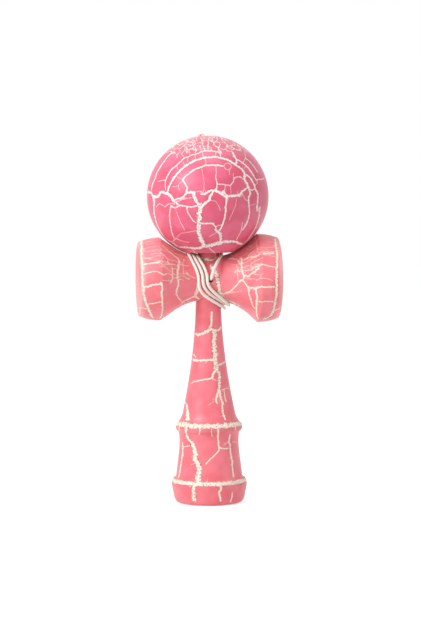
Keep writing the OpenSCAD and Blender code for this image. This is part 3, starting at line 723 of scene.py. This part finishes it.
HANDLE_CRACKS = [
    # Down the grip
    (0.9, [(1.8, 95), (1.4, 91.9), (1.6, 90.4), (1.5, 88.9), (0.6, 87.4)]),
    (1.3, [(-6.8, 84.4), (-5, 84), (-2.9, 84.5), (1.5, 86.8), (2.6, 86), (4.4, 86), (6.6, 87.2)]),
    ((1.5, 2.4), [(2.6, 85.7), (3.2, 84), (2.8, 79.8), (3.9, 65.7)]),
    (1.1, [(-7.8, 71.5), (-6.1, 71.2), (-3.1, 71.1), (0.1, 71.3), (2.5, 71.1)]),
    (0.6, [(-7.6, 74.4), (-6.4, 72.6)]),
    (0.8, [(4.3, 68.6), (6, 69), (8.4, 70.3)]),
    (1, [(3.9, 66), (2.7, 65), (1.9, 63.5), (1.7, 62.3)]),
    ((0.8, 0.4), [(1.7, 62), (-2.9, 61.3), (-7.9, 60.2), (-9.1, 59.5)]),
    (0.5, [(2.4, 61.4), (3.5, 61)]),
    (1.3, [(3.9, 66), (5.1, 65), (5.7, 63.5), (5.3, 61.4), (5.3, 57), (5, 55.8)]),
    (0.9, [(5, 55.8), (3.8, 52.5), (3.5, 51), (4.1, 49.6)]),
    (0.3, [(3.5, 51), (-0.3, 48.4)]),
    (0.9, [(5.6, 55.5), (5.9, 52.5), (7, 49.2), (6.8, 47.2), (7, 45.1), (8.2, 41.3)]),
    (0.5, [(6.5, 56.3), (7.4, 56.3), (8, 54.4), (8.1, 52), (8.8, 50.2)]),
    (0.5, [(7.4, 56.3), (8.9, 56.8), (10.1, 56.8)]),
    (1.3, [(-11.7, 49.9), (-11.1, 48.2), (-11.3, 41.5)]),
    (0.8, [(-10.7, 46.1), (-10.1, 41.4)]),
    # Down the neck
    ((0.9, 1.6), [(-11.6, 38.8), (-11.3, 36.6), (-11.8, 34.7), (-11, 32.8), (-9.8, 30.8), (-8.5, 29.2)]),
    ((1.8, 2.5), [(-8.5, 29.2), (-7.6, 27.3), (-7.2, 25.1), (-7, 21.3), (-5.1, 17.5), (-5.7, 10.9)]),
    (0.6, [(-4.6, 37.4), (-4.5, 35.8), (-5, 34)]),
    (0.5, [(1.3, 36.7), (1.3, 34.5), (1.6, 32.6)]),
    ((0.9, 0.6), [(4.6, 36.8), (4.7, 34.6), (4.5, 32.4), (4.9, 27.6), (6.2, 26.6), (8, 26.4), (9.6, 26.6)]),
    (0.6, [(4.9, 27.6), (4.9, 25.4), (-1.7, 19)]),
    (0.7, [(10.7, 33.1), (10, 30), (10.6, 28.4), (10.7, 25.9), (11.6, 20.4), (11.7, 17.6), (12.4, 12.2)]),
    (0.4, [(9.4, 29.7), (7.5, 28.5)]),
    (0.4, [(11.9, 29.7), (14.1, 29.5)]),
    (0.6, [(13.3, 37.7), (13.5, 36.1)]),
    (0.7, [(-15.4, 12.8), (-13.4, 24.1), (-13.3, 27.3), (-13.5, 29.8)]),
    (0.5, [(-13.3, 27.6), (-9.8, 28.2)]),
    (0.5, [(-14.9, 38), (-15, 35.8)]),
    (0.3, [(-9.2, 18.6), (-7.3, 19.5)]),
    # Over the base
    (1.9, [(-7.9, 7.9), (-7.9, 3.2), (-7.7, 1)]),
    (0.9, [(5.8, 7.2), (5.8, 5.6), (5, 4.1), (5.6, 0)]),
    (0.6, [(11.7, 3.9), (11.4, 1.7), (10.7, -0.4)]),
]

# Steps along laid and grown cracks, and how near a grown crack comes to another before it joins it
CRACK_STEP, GROWTH_STEP, MEETING = 0.35, 0.7, 0.6
# Fineness and size of the noise that cracks wander by, and its seed, which Blender would take from the clock
WANDER = [(0.5, 0.12), (1.5, 0.1)]
WANDER_SEED = 1
# The least mean width of a wide crack, and the least width of a traced one
WIDE_CRACK, HAIRLINE = 1.0, 0.34
CRACK_DEPTH, CRACK_SLOPE = 0.12, 0.35
# The least share of a crack's width that a view along the skin leaves
LEAST_SHARE = 0.5
# Side branches: space between them, the least half width that has them, reach, width, slant and root
SPUR_SPACING, SPUR_LEAST, SPUR_REACH = 8, 0.42, (0.5, 1.6)
SPUR_WIDTH, SPUR_SLANT, SPUR_ROOT = 0.8, 0.9, 1.3
# Degrees between a ring's points, and degrees over which it sways
RING_STEP, SWAY_SPAN = 4, 11
# How much a growing crack keeps its way, and how much it turns to the way of the surface
KEEP_ON, TURN_TO = 0.6, 0.25
# Reach of a grown crack's arms in spacings, and spread of its widths
ARM_REACH, WIDTH_SPREAD = (1.5, 4), (0.7, 1.3)
# Skin faces away where the share of its outward direction that goes to the camera is under this
AWAY_SHARE = 0.04


class Skin:
    """The surface of a turned piece, for laying cracks on it. Its lines are points with half widths."""

    def __init__(self, obj, place, axis, middle):
        self.obj, self.place = obj, place
        self.axis, self.middle = Vector(axis), Vector(middle)
        self.points = points_of(obj)
        self.tree = BVHTree.FromPolygons(self.points.tolist(), [p.vertices[:] for p in obj.data.polygons])
        self.lines = []
        self.laid = np.zeros((0, 3))

    def at(self, point):
        """The nearest place on the skin and the direction out of it."""
        place, out, _, _ = self.tree.find_nearest(Vector(point))
        return place, out

    def seen(self, x, z):
        """The place on the skin that covers a point of the plane through the handle's axis."""
        target = Vector((x, 0, z))
        place = self.tree.ray_cast(camera_place, (target - camera_place).normalized())[0]
        return place or self.at(target)[0]

    def nearest(self, point):
        """The nearest point of any crack."""
        return Vector(self.laid[((self.laid - np.array(point)) ** 2).sum(1).argmin()])

    def lay(self, points, widths):
        """Adds a crack through points on the skin with the width at each, wandering a little on its way."""
        places, halves = [], []
        for a, b, start, end in zip(points, points[1:], widths, widths[1:]):
            steps = max(1, math.ceil((b - a).length / CRACK_STEP))
            for k in range(steps):
                t = k / steps
                p = a.lerp(b, t)
                for fineness, size in WANDER:
                    p = p + noise.noise_vector(p * fineness) * size
                places.append(self.at(p)[0])
                halves.append((start + (end - start) * t) / 2)
        places.append(points[-1])
        halves.append(widths[-1] / 2)
        self.lines.append((np.array(places), np.array(halves)))
        self.laid = np.concatenate([self.laid, self.lines[-1][0]])

    def trace(self, cracks, share=1.0):
        """Adds a share of the width of cracks as seen from the front, more where the skin turns away."""
        for width, marks in cracks:
            points = [self.seen(x, z) for x, z in marks]
            start, end = np.broadcast_to(width, 2)
            widths = np.maximum(np.linspace(start, end, len(points)) * share, HAIRLINE)
            for k, way in enumerate(np.gradient(np.array(points), axis=0)):
                across = self.at(points[k])[1].cross(Vector(way)).normalized()
                widths[k] /= max(1 - across.dot(back) ** 2, LEAST_SHARE**2) ** 0.5
            self.lay(points, widths)

    def fray(self, chance):
        """Adds short side branches along the cracks laid so far."""
        for points, halves in list(self.lines):
            for k in range(1, len(points) - 1):
                if halves[k] < SPUR_LEAST or chance.random() > CRACK_STEP / SPUR_SPACING:
                    continue
                place, out = self.at(points[k])
                along = Vector(points[k + 1] - points[k - 1]).normalized()
                slant = out.cross(along) * chance.choice((-1, 1))
                side = slant + along * chance.uniform(-SPUR_SLANT, SPUR_SLANT)
                reach = halves[k] + chance.uniform(*SPUR_REACH)
                tip = self.at(place + side.normalized() * reach)[0]
                self.lay([place, tip], [min(halves[k] * SPUR_ROOT, SPUR_WIDTH), HAIRLINE / 2])

    def girdle(self, r, h, width, start=0, end=360, sway=0):
        """Adds a crack round the piece between two angles, at a radius and a height that sways."""
        points = []
        for a in range(start, end + 1, RING_STEP):
            place = self.place(r, h + sway * noise.noise((a / SWAY_SPAN, r, h)), math.radians(a))
            points.append(self.at(place)[0])
        self.lay(points, [width] * len(points))

    def flow(self, place, out, lengthwise):
        """The direction round the piece's axis, or across that, at a place on the skin."""
        around = self.axis.cross(place - self.middle)
        around = around.normalized() if around.length > 1e-3 else out.orthogonal().normalized()
        return out.cross(around) if lengthwise else around

    def arm(self, start, sign, lengthwise, reach, allowed, chance, stray):
        """A crack's way until it meets another, leaves where it may be or has gone its reach."""
        place, out = self.at(start)
        going = self.flow(place, out, lengthwise) * sign
        points = []
        for _ in range(int(reach / GROWTH_STEP)):
            wanted = self.flow(place, out, lengthwise) * sign
            aside = Vector([chance.gauss(0, stray) for _ in range(3)])
            going = (going * KEEP_ON + wanted * TURN_TO + aside).normalized()
            place, out = self.at(place + going * GROWTH_STEP)
            points.append(place)
            other = self.nearest(place)
            if (other - place).length < MEETING:
                points.append(other)
                break
            if not allowed(place, out):
                break
        return points

    def grow(self, chance, size, allowed, starts=None, lengthwise_share=0.5, stray=0.33):
        """Adds cracks from random places that are clear of every other crack.

        Size has their spacing, their width and the number of tries.
        """
        spacing, width, tries = size
        starts = self.points if starts is None else starts
        for _ in range(tries):
            start = Vector(starts[chance.randrange(len(starts))])
            if not allowed(*self.at(start)) or (self.nearest(start) - start).length < spacing / 2:
                continue
            lengthwise = chance.random() < lengthwise_share
            reach = spacing * chance.uniform(*ARM_REACH)
            arms = [self.arm(start, sign, lengthwise, reach, allowed, chance, stray) for sign in (-1, 1)]
            points = [*arms[0][::-1], start, *arms[1]]
            widths = width * np.array([chance.uniform(*WIDTH_SPREAD) for _ in points])
            self.lay(points, widths)


def faces_away(place, out):
    """Whether a place on a skin is turned away from the camera."""
    return out.dot(back) < AWAY_SHARE


def nearest_on(lines, points):
    """Offset of each point from the nearest of the lines, and that line's half width there."""
    places = np.concatenate([p for p, _ in lines])
    halves = np.concatenate([h for _, h in lines])
    owner = np.concatenate([np.full(len(p), k) for k, (p, _) in enumerate(lines)])
    tree = KDTree(len(places))
    for k, place in enumerate(places):
        tree.insert(place, k)
    tree.balance()
    near = np.array([tree.find(p)[1] for p in points])
    offset, half = points - places[near], halves[near]
    for step in (-1, 1):
        other = np.clip(near + step, 0, len(places) - 1)
        span = (places[other] - places[near]) * (owner[other] == owner[near])[:, None]
        along = ((points - places[near]) * span).sum(1) / np.maximum((span**2).sum(1), 1e-9)
        along = np.clip(along, 0, 1)
        moved = points - places[near] - span * along[:, None]
        closer = (moved**2).sum(1) < (offset**2).sum(1)
        offset[closer] = moved[closer]
        half[closer] = (halves[near] + (halves[other] - halves[near]) * along)[closer]
    return offset, half


def store(obj, name, values):
    """Keeps a vector for each of the mesh's points, for its material to read."""
    kept = obj.data.attributes.new(name, "FLOAT_VECTOR", "POINT")
    kept.data.foreach_set("vector", np.ascontiguousarray(values, np.float32).ravel())


def crack(skin):
    """Sinks the skin's cracks into its mesh and stores how far each point is from them."""
    points = skin.points
    out = np.zeros(len(points) * 3, np.float32)
    skin.obj.data.vertices.foreach_get("normal", out)
    sunk = np.zeros(len(points))
    for name in ("wide", "fine"):
        lines = [line for line in skin.lines if (line[1].mean() * 2 >= WIDE_CRACK) == (name == "wide")]
        offset, half = nearest_on(lines, points)
        away = np.linalg.norm(offset, axis=1)
        inside = np.clip((half - away) / CRACK_SLOPE + 0.5, 0, 1)
        sunk = np.maximum(sunk, inside * np.clip(half / WIDE_CRACK * 2, 0, 1))
        store(skin.obj, name + "_offset", offset)
        store(skin.obj, name + "_size", np.stack([half, away, away], 1))
    moved = (points - out.reshape(-1, 3) * (CRACK_DEPTH * sunk)[:, None]) * MM
    skin.obj.data.vertices.foreach_set("co", moved.astype(np.float32).ravel())
    skin.obj.data.update()


UP = (0, 0, 1)
# Share of the traced widths that the handle and the ball take
HANDLE_SHARE, BALL_SHARE = 1.08, 0.88
# Rings: their place, width and, where they don't go all round, first and last angle
COLLAR_CRACK_Z, COLLAR_CRACK = 40.5, 2.9
FLANGE_CRACK_Z, FLANGE_CRACK = 11.5, 2.3
RIM_CRACK, LARGE_CRACK_IN, SMALL_CRACK_IN, RIM_ANGLES = 1.3, 1.3, 1.6, (4, 190)
BALL_RING_UP, BALL_RING, BALL_RING_ANGLES, BALL_RING_SWAY = 2.2, 1.3, (8, 172), 3
# Where grown cracks may be
SHOULDER_X = 11
BAND_END, BAND_Z = 33, 119
HIDDEN_Z = CROSS_Z - WAIST_R
CAP_Z = 174.6
BAND_OVERLAP = 1
OUTSIDE_DEPTH = 0.2
# Spacing, width and tries of grown cracks, from the main ones to the finest
HANDLE_GROWTH = [(20, 1.6, 120), (12, 0.9, 260), (7, 0.5, 500)]
CROSS_GROWTH = [(16, 1.3, 120), (9, 0.8, 300), (5.5, 0.45, 700)]
BALL_GROWTH = [(20, 1.7, 120), (11, 0.9, 300), (6.5, 0.5, 700)]
SHOULDER_GROWTH, BAND_GROWTH, CAP_GROWTH = (2.4, 0.42, 600), (2.0, 0.36, 160), (2.6, 0.56, 1400)
# Share of the fine cracks that go along the axis, and how far each strays
SHOULDER_LENGTHWISE, BAND_LENGTHWISE, FINE_STRAY = 0.85, 1, 0.16
HANDLE_SEED, CROSS_SEED, BALL_SEED = 4, 5, 6


def crack_handle():
    """The traced cracks, rings on the collar and the base, and more at the back and where it is hidden."""
    skin = Skin(handle, upright(0), UP, (0, 0, 0))
    chance = random.Random(HANDLE_SEED)
    skin.trace(HANDLE_CRACKS, HANDLE_SHARE)
    skin.girdle(COLLAR_R, COLLAR_CRACK_Z, COLLAR_CRACK)
    skin.girdle(BASE_R, FLANGE_CRACK_Z, FLANGE_CRACK)
    skin.fray(chance)

    def allowed(place, out):
        skin.middle.z = place.z
        return faces_away(place, out) or place.z > HIDDEN_Z

    for size in HANDLE_GROWTH:
        skin.grow(chance, size, allowed)
    crack(skin)


def crack_cross_piece():
    """The traced cracks, the rings by the rims, fine ones on top, and more at the back and in the cups."""
    skin = Skin(cross_piece, sideways, (1, 0, 0), (0, 0, CROSS_Z))
    chance = random.Random(CROSS_SEED)
    skin.trace(CROSS_CRACKS)
    skin.girdle(LARGE_RIM_R, CROSS_HALF - LARGE_CRACK_IN, RIM_CRACK, *RIM_ANGLES)
    skin.girdle(SMALL_RIM_R, -CROSS_HALF + SMALL_CRACK_IN, RIM_CRACK, *RIM_ANGLES)
    skin.fray(chance)

    def on_shoulder(place, out):
        skin.middle.x = place.x
        return not faces_away(place, out) and SHOULDER_X < abs(place.x) < RIDGE_X and place.z > CROSS_Z

    def on_band(place, out):
        skin.middle.x = place.x
        along = RIDGE_X - BAND_OVERLAP < abs(place.x) < BAND_END
        return not faces_away(place, out) and along and place.z > BAND_Z

    def allowed(place, out):
        skin.middle.x = place.x
        return faces_away(place, out)

    far = np.abs(skin.points[:, 0])
    shoulders = skin.points[(far > SHOULDER_X) & (far < RIDGE_X) & (skin.points[:, 2] > CROSS_Z)]
    bands = skin.points[(far > RIDGE_X) & (far < BAND_END) & (skin.points[:, 2] > BAND_Z)]
    skin.grow(chance, SHOULDER_GROWTH, on_shoulder, shoulders, SHOULDER_LENGTHWISE, FINE_STRAY)
    skin.grow(chance, BAND_GROWTH, on_band, bands, BAND_LENGTHWISE, FINE_STRAY)
    for size in CROSS_GROWTH:
        skin.grow(chance, size, allowed)
    crack(skin)


def crack_ball():
    """The traced cracks, a fine net on the cap, and at the back arcs above the middle and uprights below."""
    skin = Skin(ball, upright(BALL_Z), UP, (0, 0, BALL_Z))
    chance = random.Random(BALL_SEED)
    skin.trace(BALL_CRACKS, BALL_SHARE)
    skin.girdle(BALL_R, BALL_RING_UP, BALL_RING, *BALL_RING_ANGLES, BALL_RING_SWAY)
    skin.fray(chance)

    def outside(place):
        return (place - skin.middle).length > BALL_R - OUTSIDE_DEPTH

    def on_back(place, out):
        skin.axis = Vector((0, 1, 0)) if place.z > BALL_Z else Vector(UP)
        return outside(place) and faces_away(place, out)

    def on_cap(place, out):
        return outside(place) and place.z > CAP_Z

    for size in BALL_GROWTH:
        skin.grow(chance, size, on_back)
    cap = skin.points[skin.points[:, 2] > CAP_Z]
    skin.grow(chance, CAP_GROWTH, on_cap, cap)
    crack(skin)


noise.seed_set(WANDER_SEED)
crack_handle()
crack_cross_piece()
crack_ball()

# Materials

def srgb(red, green, blue):
    """A colour as it shows on a screen, from 0 to 255, as a shader takes it."""
    shares = [c / 255 for c in (red, green, blue)]
    return (*[c / 12.92 if c <= 0.04045 else ((c + 0.055) / 1.055) ** 2.4 for c in shares], 1)


class Shader:
    """The nodes of a material or of the world. Each call adds a node and gives its output for the next."""

    def __init__(self, owner, surface="Principled BSDF"):
        owner.use_nodes = True
        self.owner, self.tree = owner, owner.node_tree
        self.surface = self.tree.nodes[surface]

    def set(self, socket, value):
        if isinstance(value, bpy.types.NodeSocket):
            self.tree.links.new(value, socket)
        else:
            socket.default_value = value

    def add(self, kind, inputs, output=0, **settings):
        made = self.tree.nodes.new("ShaderNode" + kind)
        for name, value in settings.items():
            setattr(made, name, value)
        for name, value in inputs.items():
            self.set(made.inputs[name], value)
        return made.outputs[output]

    def math(self, operation, *values):
        return self.add("Math", dict(enumerate(values)), operation=operation)

    def mix(self, share, a, b):
        return self.add("Mix", {0: share, 6: a, 7: b}, output=2, data_type="RGBA")

    def step(self, value, start, end, low=0.0, high=1.0):
        """Goes smoothly from low to high as the value goes from start to end."""
        return self.add("MapRange", {0: value, 1: start, 2: end, 3: low, 4: high},
                        interpolation_type="SMOOTHSTEP")

    def seen_directly(self):
        """One for rays from the camera, a reflection or a clear material, and nought for other rays."""
        path = self.tree.nodes.new("ShaderNodeLightPath").outputs
        first = self.math("MAXIMUM", path["Is Camera Ray"], path["Is Glossy Ray"])
        return self.math("MAXIMUM", first, path["Is Transmission Ray"])

    def millimetres(self):
        """Places on the object, in millimetres."""
        place = self.add("TexCoord", {}, output="Object")
        return self.add("VectorMath", {0: place, "Scale": 1 / MM}, operation="SCALE")

    def noise(self, place, scale, detail=2.0):
        return self.add("TexNoise", {"Vector": place, "Scale": scale, "Detail": detail})

    def patches(self, place, scale, detail, start, end):
        """Noise that goes from nought to one between two of its values."""
        return self.step(self.noise(place, scale, detail), start, end)

    def bump(self, height, depth, strength=1.0):
        return self.add("Bump", {"Height": height, "Distance": depth * MM, "Strength": strength})

    def finish(self, **sockets):
        for name, value in sockets.items():
            self.set(self.surface.inputs[name.replace("_", " ")], value)
        return self.owner


def material_shader(name):
    """The nodes of a new material."""
    return Shader(bpy.data.materials.new(name))


# Each material's two colours
HANDLE_PINKS = (srgb(244, 125, 136), srgb(236, 109, 122))
CROSS_PINKS = (srgb(249, 132, 143), srgb(242, 118, 129))
BALL_PINKS = (srgb(231, 101, 133), srgb(220, 85, 113))
WOODS = (srgb(236, 205, 164), srgb(205, 165, 118))
BEAD_WOODS = (srgb(226, 188, 140), srgb(190, 146, 100))
COTTONS = (srgb(255, 250, 240), srgb(252, 236, 222))
CREAM = (srgb(255, 238, 222), srgb(240, 208, 184))
OFF_WHITE = (srgb(255, 240, 236), srgb(246, 212, 210))
FLECK = srgb(116, 68, 64)
# Where a coat is paler, along which axis, from where to where, and by what share: on the cross piece's rims
# it is worn thin, and on the ball's cap it is a painted sheen for the sky's reflection, with the pale of its
# fine crackle
CROSS_THIN = ("X", CROSS_HALF - 2.8, CROSS_HALF - 1, 0.24)
# Painted sheen: the ball's cap is mixed paler towards its top for the sky's reflection there and its fine
# crackle
BALL_PAINTED_SHEEN = ("Z", 164, 182, 0.08)
# Kinds of crack: least share and spread of its ragged width, and how torn its edge is
CRACK_KINDS = [("wide", 0.66, 0.66, 1.0), ("fine", 0.6, 0.75, 0.12)]
# Between two cracks the blended offset falls short, and the blended distance less this counts in its place
SEAM = 0.7
# Patches of noise: fineness, detail, and the values between which a patch fades in
RAGGED, CLOUDS = (1.0, 4, 0.28, 0.72), (0.12, 3, 0.35, 0.65)
FLECKS, SPECKS = (1.3, 1, 0.53, 0.6), (1.5, 1, 0.6, 0.66)
# Distances past a crack's edge between which each thing fades
BARE_EDGE, OPEN_EDGE, RIM_EDGE = (-0.08, 0.06), (-0.05, 0.1), (0.0, 0.5)
FLECK_EDGE, OUTLINE_EDGE = (0.15, 0.55), (0.0, 0.25)
# Half widths between which a fine crack goes from half bare to bare, and a wide one gets its flecks
FINE_BARE, FLECKED = (0.14, 0.42), (0.5, 0.9)
# Strength of the deeper pink along cracks, of flecks and of the dark outline
RIM_SHARE, FLECK_SHARE, OUTLINE_SHARE = 0.25, 0.72, 0.35


def crackle_paint(name, pink, deep, undercoat, wear_and_painted_sheen=None):
    """Satin paint that has drawn back from its cracks and shows the undercoat, with flecks by wide ones, and
    paler along an axis where it is worn thin or where a sheen is painted.
    """
    s = material_shader(name)
    place = s.millimetres()
    ragged = s.patches(place, *RAGGED)
    torn = s.noise(place, 1.4, 3)
    gaps, halves = [], []
    for kind, least, spread, tear in CRACK_KINDS:
        offset = s.add("Attribute", {}, output="Vector", attribute_name=kind + "_offset")
        size = s.add("Attribute", {}, output="Vector", attribute_name=kind + "_size")
        half = s.add("SeparateXYZ", {0: size}, output="X")
        away = s.add("SeparateXYZ", {0: size}, output="Y")
        straight = s.add("VectorMath", {0: offset}, output="Value", operation="LENGTH")
        reach = s.math("MAXIMUM", straight, s.math("SUBTRACT", away, SEAM))
        width = s.math("MULTIPLY", half, s.math("MULTIPLY_ADD", ragged, spread, least))
        frayed = s.math("MULTIPLY_ADD", s.math("SUBTRACT", torn, 0.5), tear, reach)
        gaps.append(s.math("SUBTRACT", frayed, width))
        halves.append(half)
    gap = s.math("MINIMUM", *gaps)
    bare = s.step(gap, *BARE_EDGE, 1.0, 0.0)
    open_wide = s.step(gaps[0], *OPEN_EDGE, 1.0, 0.0)
    rim = s.step(gap, *RIM_EDGE, RIM_SHARE, 0.0)
    cloud = s.patches(place, *CLOUDS)
    fine = s.noise(place, 3.5, 2)
    paint = s.mix(cloud, pink, deep)
    paint = s.mix(rim, paint, deep)
    # A paler coat along an axis: worn thin on the cross piece's rims, and on the ball's cap a painted sheen
    # for the sky's reflection and its fine crackle
    if wear_and_painted_sheen:
        axis, start, end, share = wear_and_painted_sheen
        along = s.math("ABSOLUTE", s.add("SeparateXYZ", {0: place}, output=axis))
        paint = s.mix(s.step(along, start, end, 0.0, share), paint, undercoat[0])
    coat = s.mix(s.step(fine, 0.42, 0.75), *undercoat)
    filled = s.math("MAXIMUM", open_wide, s.step(halves[1], *FINE_BARE, 0.5, 1.0))
    colour = s.mix(s.math("MULTIPLY", bare, filled), paint, coat)
    big = s.step(halves[0], *FLECKED)
    from_edge = s.math("ABSOLUTE", gaps[0])
    edge = s.step(from_edge, *FLECK_EDGE, 1.0, 0.0)
    outline = s.step(from_edge, *OUTLINE_EDGE, OUTLINE_SHARE, 0.0)
    fleck = s.math("MULTIPLY", edge, s.patches(place, *FLECKS))
    speck = s.math("MULTIPLY", open_wide, s.patches(place, *SPECKS))
    fleck = s.math("MULTIPLY", s.math("MAXIMUM", fleck, speck), FLECK_SHARE)
    fleck = s.math("MAXIMUM", fleck, outline)
    colour = s.mix(s.math("MULTIPLY", fleck, big), colour, FLECK)
    roughness = s.math("MULTIPLY_ADD", bare, 0.25, s.math("MULTIPLY_ADD", fine, 0.12, 0.34))
    height = s.math("MULTIPLY_ADD", fine, 0.08, s.math("SUBTRACT", 1.0, bare))
    relief = s.bump(height, CRACK_DEPTH, 0.7)
    return s.finish(Base_Color=colour, Roughness=roughness, Normal=relief, Sheen_Weight=0.1)


def bare_wood(name, pale, dark):
    """Close-grained wood with rings about the vertical and short pores along it."""
    s = material_shader(name)
    place = s.millimetres()
    drawn = s.add("VectorMath", {0: place, 1: (1, 1, 0.12)}, operation="MULTIPLY")
    warped = s.noise(drawn, 0.5, 3)
    rings = s.add("TexWave", {"Vector": drawn, "Scale": 0.35, "Distortion": 3.0, "Detail": 2.0}, output="Fac",
                  wave_type="RINGS", rings_direction="Z")
    pores = s.patches(drawn, 3.2, 2, 0.55, 0.7)
    grain = s.math("MULTIPLY_ADD", rings, 0.6, s.math("MULTIPLY", warped, 0.4))
    colour = s.mix(pores, s.mix(grain, pale, dark), dark)
    roughness = s.math("MULTIPLY_ADD", warped, 0.2, 0.5)
    return s.finish(Base_Color=colour, Roughness=roughness, Normal=s.bump(pores, -0.05, 0.5))


def cotton(name, pale, shade):
    """Soft cotton yarn with loose fibres."""
    s = material_shader(name)
    place = s.millimetres()
    tufts = s.noise(place, 2.2, 3)
    fibres = s.noise(place, 9.0, 3)
    colour = s.mix(s.step(tufts, 0.35, 0.7), pale, shade)
    roughness = s.math("MULTIPLY_ADD", fibres, 0.2, 0.72)
    height = s.math("MULTIPLY_ADD", fibres, 0.6, tufts)
    relief = s.bump(height, 0.12, 0.8)
    return s.finish(Base_Color=colour, Roughness=roughness, Normal=relief, Sheen_Weight=0.25)


def dress(obj, outside, inside=None, hollow=None):
    """Gives an object its outside material, and another to the faces whose middles hollow picks."""
    obj.data.materials.clear()
    obj.data.materials.append(outside)
    if inside is None:
        return
    obj.data.materials.append(inside)
    flat = np.zeros(len(obj.data.polygons) * 3, np.float32)
    obj.data.polygons.foreach_get("center", flat)
    middles = flat.reshape(-1, 3).astype(float) / MM
    obj.data.polygons.foreach_set("material_index", hollow(middles).astype(np.int32))


# Margins for telling the faces of a hole: round a bore, round the taper, under the skin and under the ball's
BORE_MARGIN, TAPER_MARGIN, SKIN_MARGIN, BALL_MARGIN = 0.1, 0.02, 0.15, 0.3


def in_handle_bore(p):
    """Which places are in the handle's bore or its pocket."""
    far = np.hypot(p[:, 0], p[:, 1])
    in_bore = np.hypot(p[:, 0], p[:, 2] - CROSS_Z) < POCKET_R + BORE_MARGIN
    return in_bore & (far < taper_r(CROSS_Z) - SKIN_MARGIN)


def in_cross_bores(p):
    """Which places are in the cross piece's bore or its front hole."""
    far = np.hypot(p[:, 0], p[:, 1])
    skin_r = np.hypot(p[:, 1], p[:, 2] - CROSS_Z)
    string_hole = (np.hypot(p[:, 0], p[:, 2] - CROSS_Z) < FRONT_HOLE_R + BORE_MARGIN) & (p[:, 1] < 0)
    bore = far < THROAT_R + TAPER_CLEARANCE + TAPER_MARGIN
    return (bore | string_hole) & (skin_r < WAIST_R - SKIN_MARGIN)


def in_ball_holes(p):
    """Which places are inside the ball."""
    return np.linalg.norm(p - (0, 0, BALL_Z), axis=1) < BALL_R - BALL_MARGIN


wood = bare_wood("bare_wood", *WOODS)
dress(handle, crackle_paint("handle_paint", *HANDLE_PINKS, CREAM), wood, in_handle_bore)
dress(cross_piece, crackle_paint("cross_paint", *CROSS_PINKS, CREAM, CROSS_THIN), wood, in_cross_bores)
# The ball's paint is paler on its cap: a painted sheen for the sky's reflection, with its fine crackle
dress(ball, crackle_paint("ball_paint", *BALL_PINKS, OFF_WHITE, BALL_PAINTED_SHEEN), wood, in_ball_holes)
dress(bead, bare_wood("bead_wood", *BEAD_WOODS))
string_cotton = cotton("string_cotton", *COTTONS)
for cord_piece in (string, tail, bead_knot, handle_knot):
    dress(cord_piece, string_cotton)

# Floor, light and background

WHITE = (1, 1, 1, 1)
SKY_LIGHT = 0.42
FLOOR_R, FLOOR_SIDES, FLOOR_Z = 2500, 96, -0.2
FLOOR_GREYS = ((0.8, 0.8, 0.8, 1), (0.84, 0.84, 0.84, 1))
FLOOR_GLOW = 0.6


def make_world():
    """White where it is seen, and a weaker even light from all round."""
    s = Shader(bpy.data.worlds.new("studio"), "Background")
    strength = s.add("MapRange", {"Value": s.seen_directly(), "To Min": SKY_LIGHT, "To Max": 1})
    bpy.context.scene.world = s.finish(Color=WHITE, Strength=strength)


def make_floor():
    """A pale floor that glows a little, so that it is white and keeps a soft shadow."""
    angles = np.linspace(0, 2 * math.pi, FLOOR_SIDES + 1)[:-1]
    rim = [(FLOOR_R * math.cos(a), FLOOR_R * math.sin(a), FLOOR_Z) for a in angles]
    floor = mesh_object("floor", rim, [list(range(len(rim)))])
    s = material_shader("floor_paint")
    paper = s.noise(s.millimetres(), 0.02, 2)
    colour = s.mix(paper, *FLOOR_GREYS)
    glow = s.math("MULTIPLY", s.seen_directly(), FLOOR_GLOW)
    dress(floor, s.finish(Base_Color=colour, Roughness=0.9, Emission_Color=WHITE, Emission_Strength=glow))


def make_lamp(name, place, size, watts):
    """A square soft lamp that looks at the cross piece."""
    lamp = bpy.data.objects.new(name, bpy.data.lights.new(name, "AREA"))
    lamp.data.size = size * MM
    lamp.data.energy = watts
    place = Vector(place)
    turn = (middle - place).to_track_quat("-Z", "Y").to_matrix()
    lamp.matrix_world = Matrix.Translation(place * MM) @ turn.to_4x4()
    bpy.context.scene.collection.objects.link(lamp)


make_world()
make_floor()
make_lamp("key", (-740, -500, 620), 420, 7)
make_lamp("fill", (720, -320, 260), 420, 0.65)
make_lamp("top", (-80, -260, 1050), 600, 3)

# What each piece rides on and stands for, and the name of its finish
for piece, body, node, slot in [(handle, "handle", "handle", "handle_paint"),
                                (cross_piece, "cross_piece", "cross_piece", "cross_paint"),
                                (ball, "ball", "ball", "ball_paint"),
                                (bead, "ball_line", "bead", "bead_wood"),
                                (bead_knot, "ball_line", "bead_knot", "string"),
                                (handle_knot, "handle", "handle_knot", "string")]:
    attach(piece, body)
    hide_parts(node)
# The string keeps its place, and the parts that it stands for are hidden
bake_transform(string)
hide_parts("string_lead", "string_winding", "string_riser", "string_drop")
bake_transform(tail)
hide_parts("string_tail")
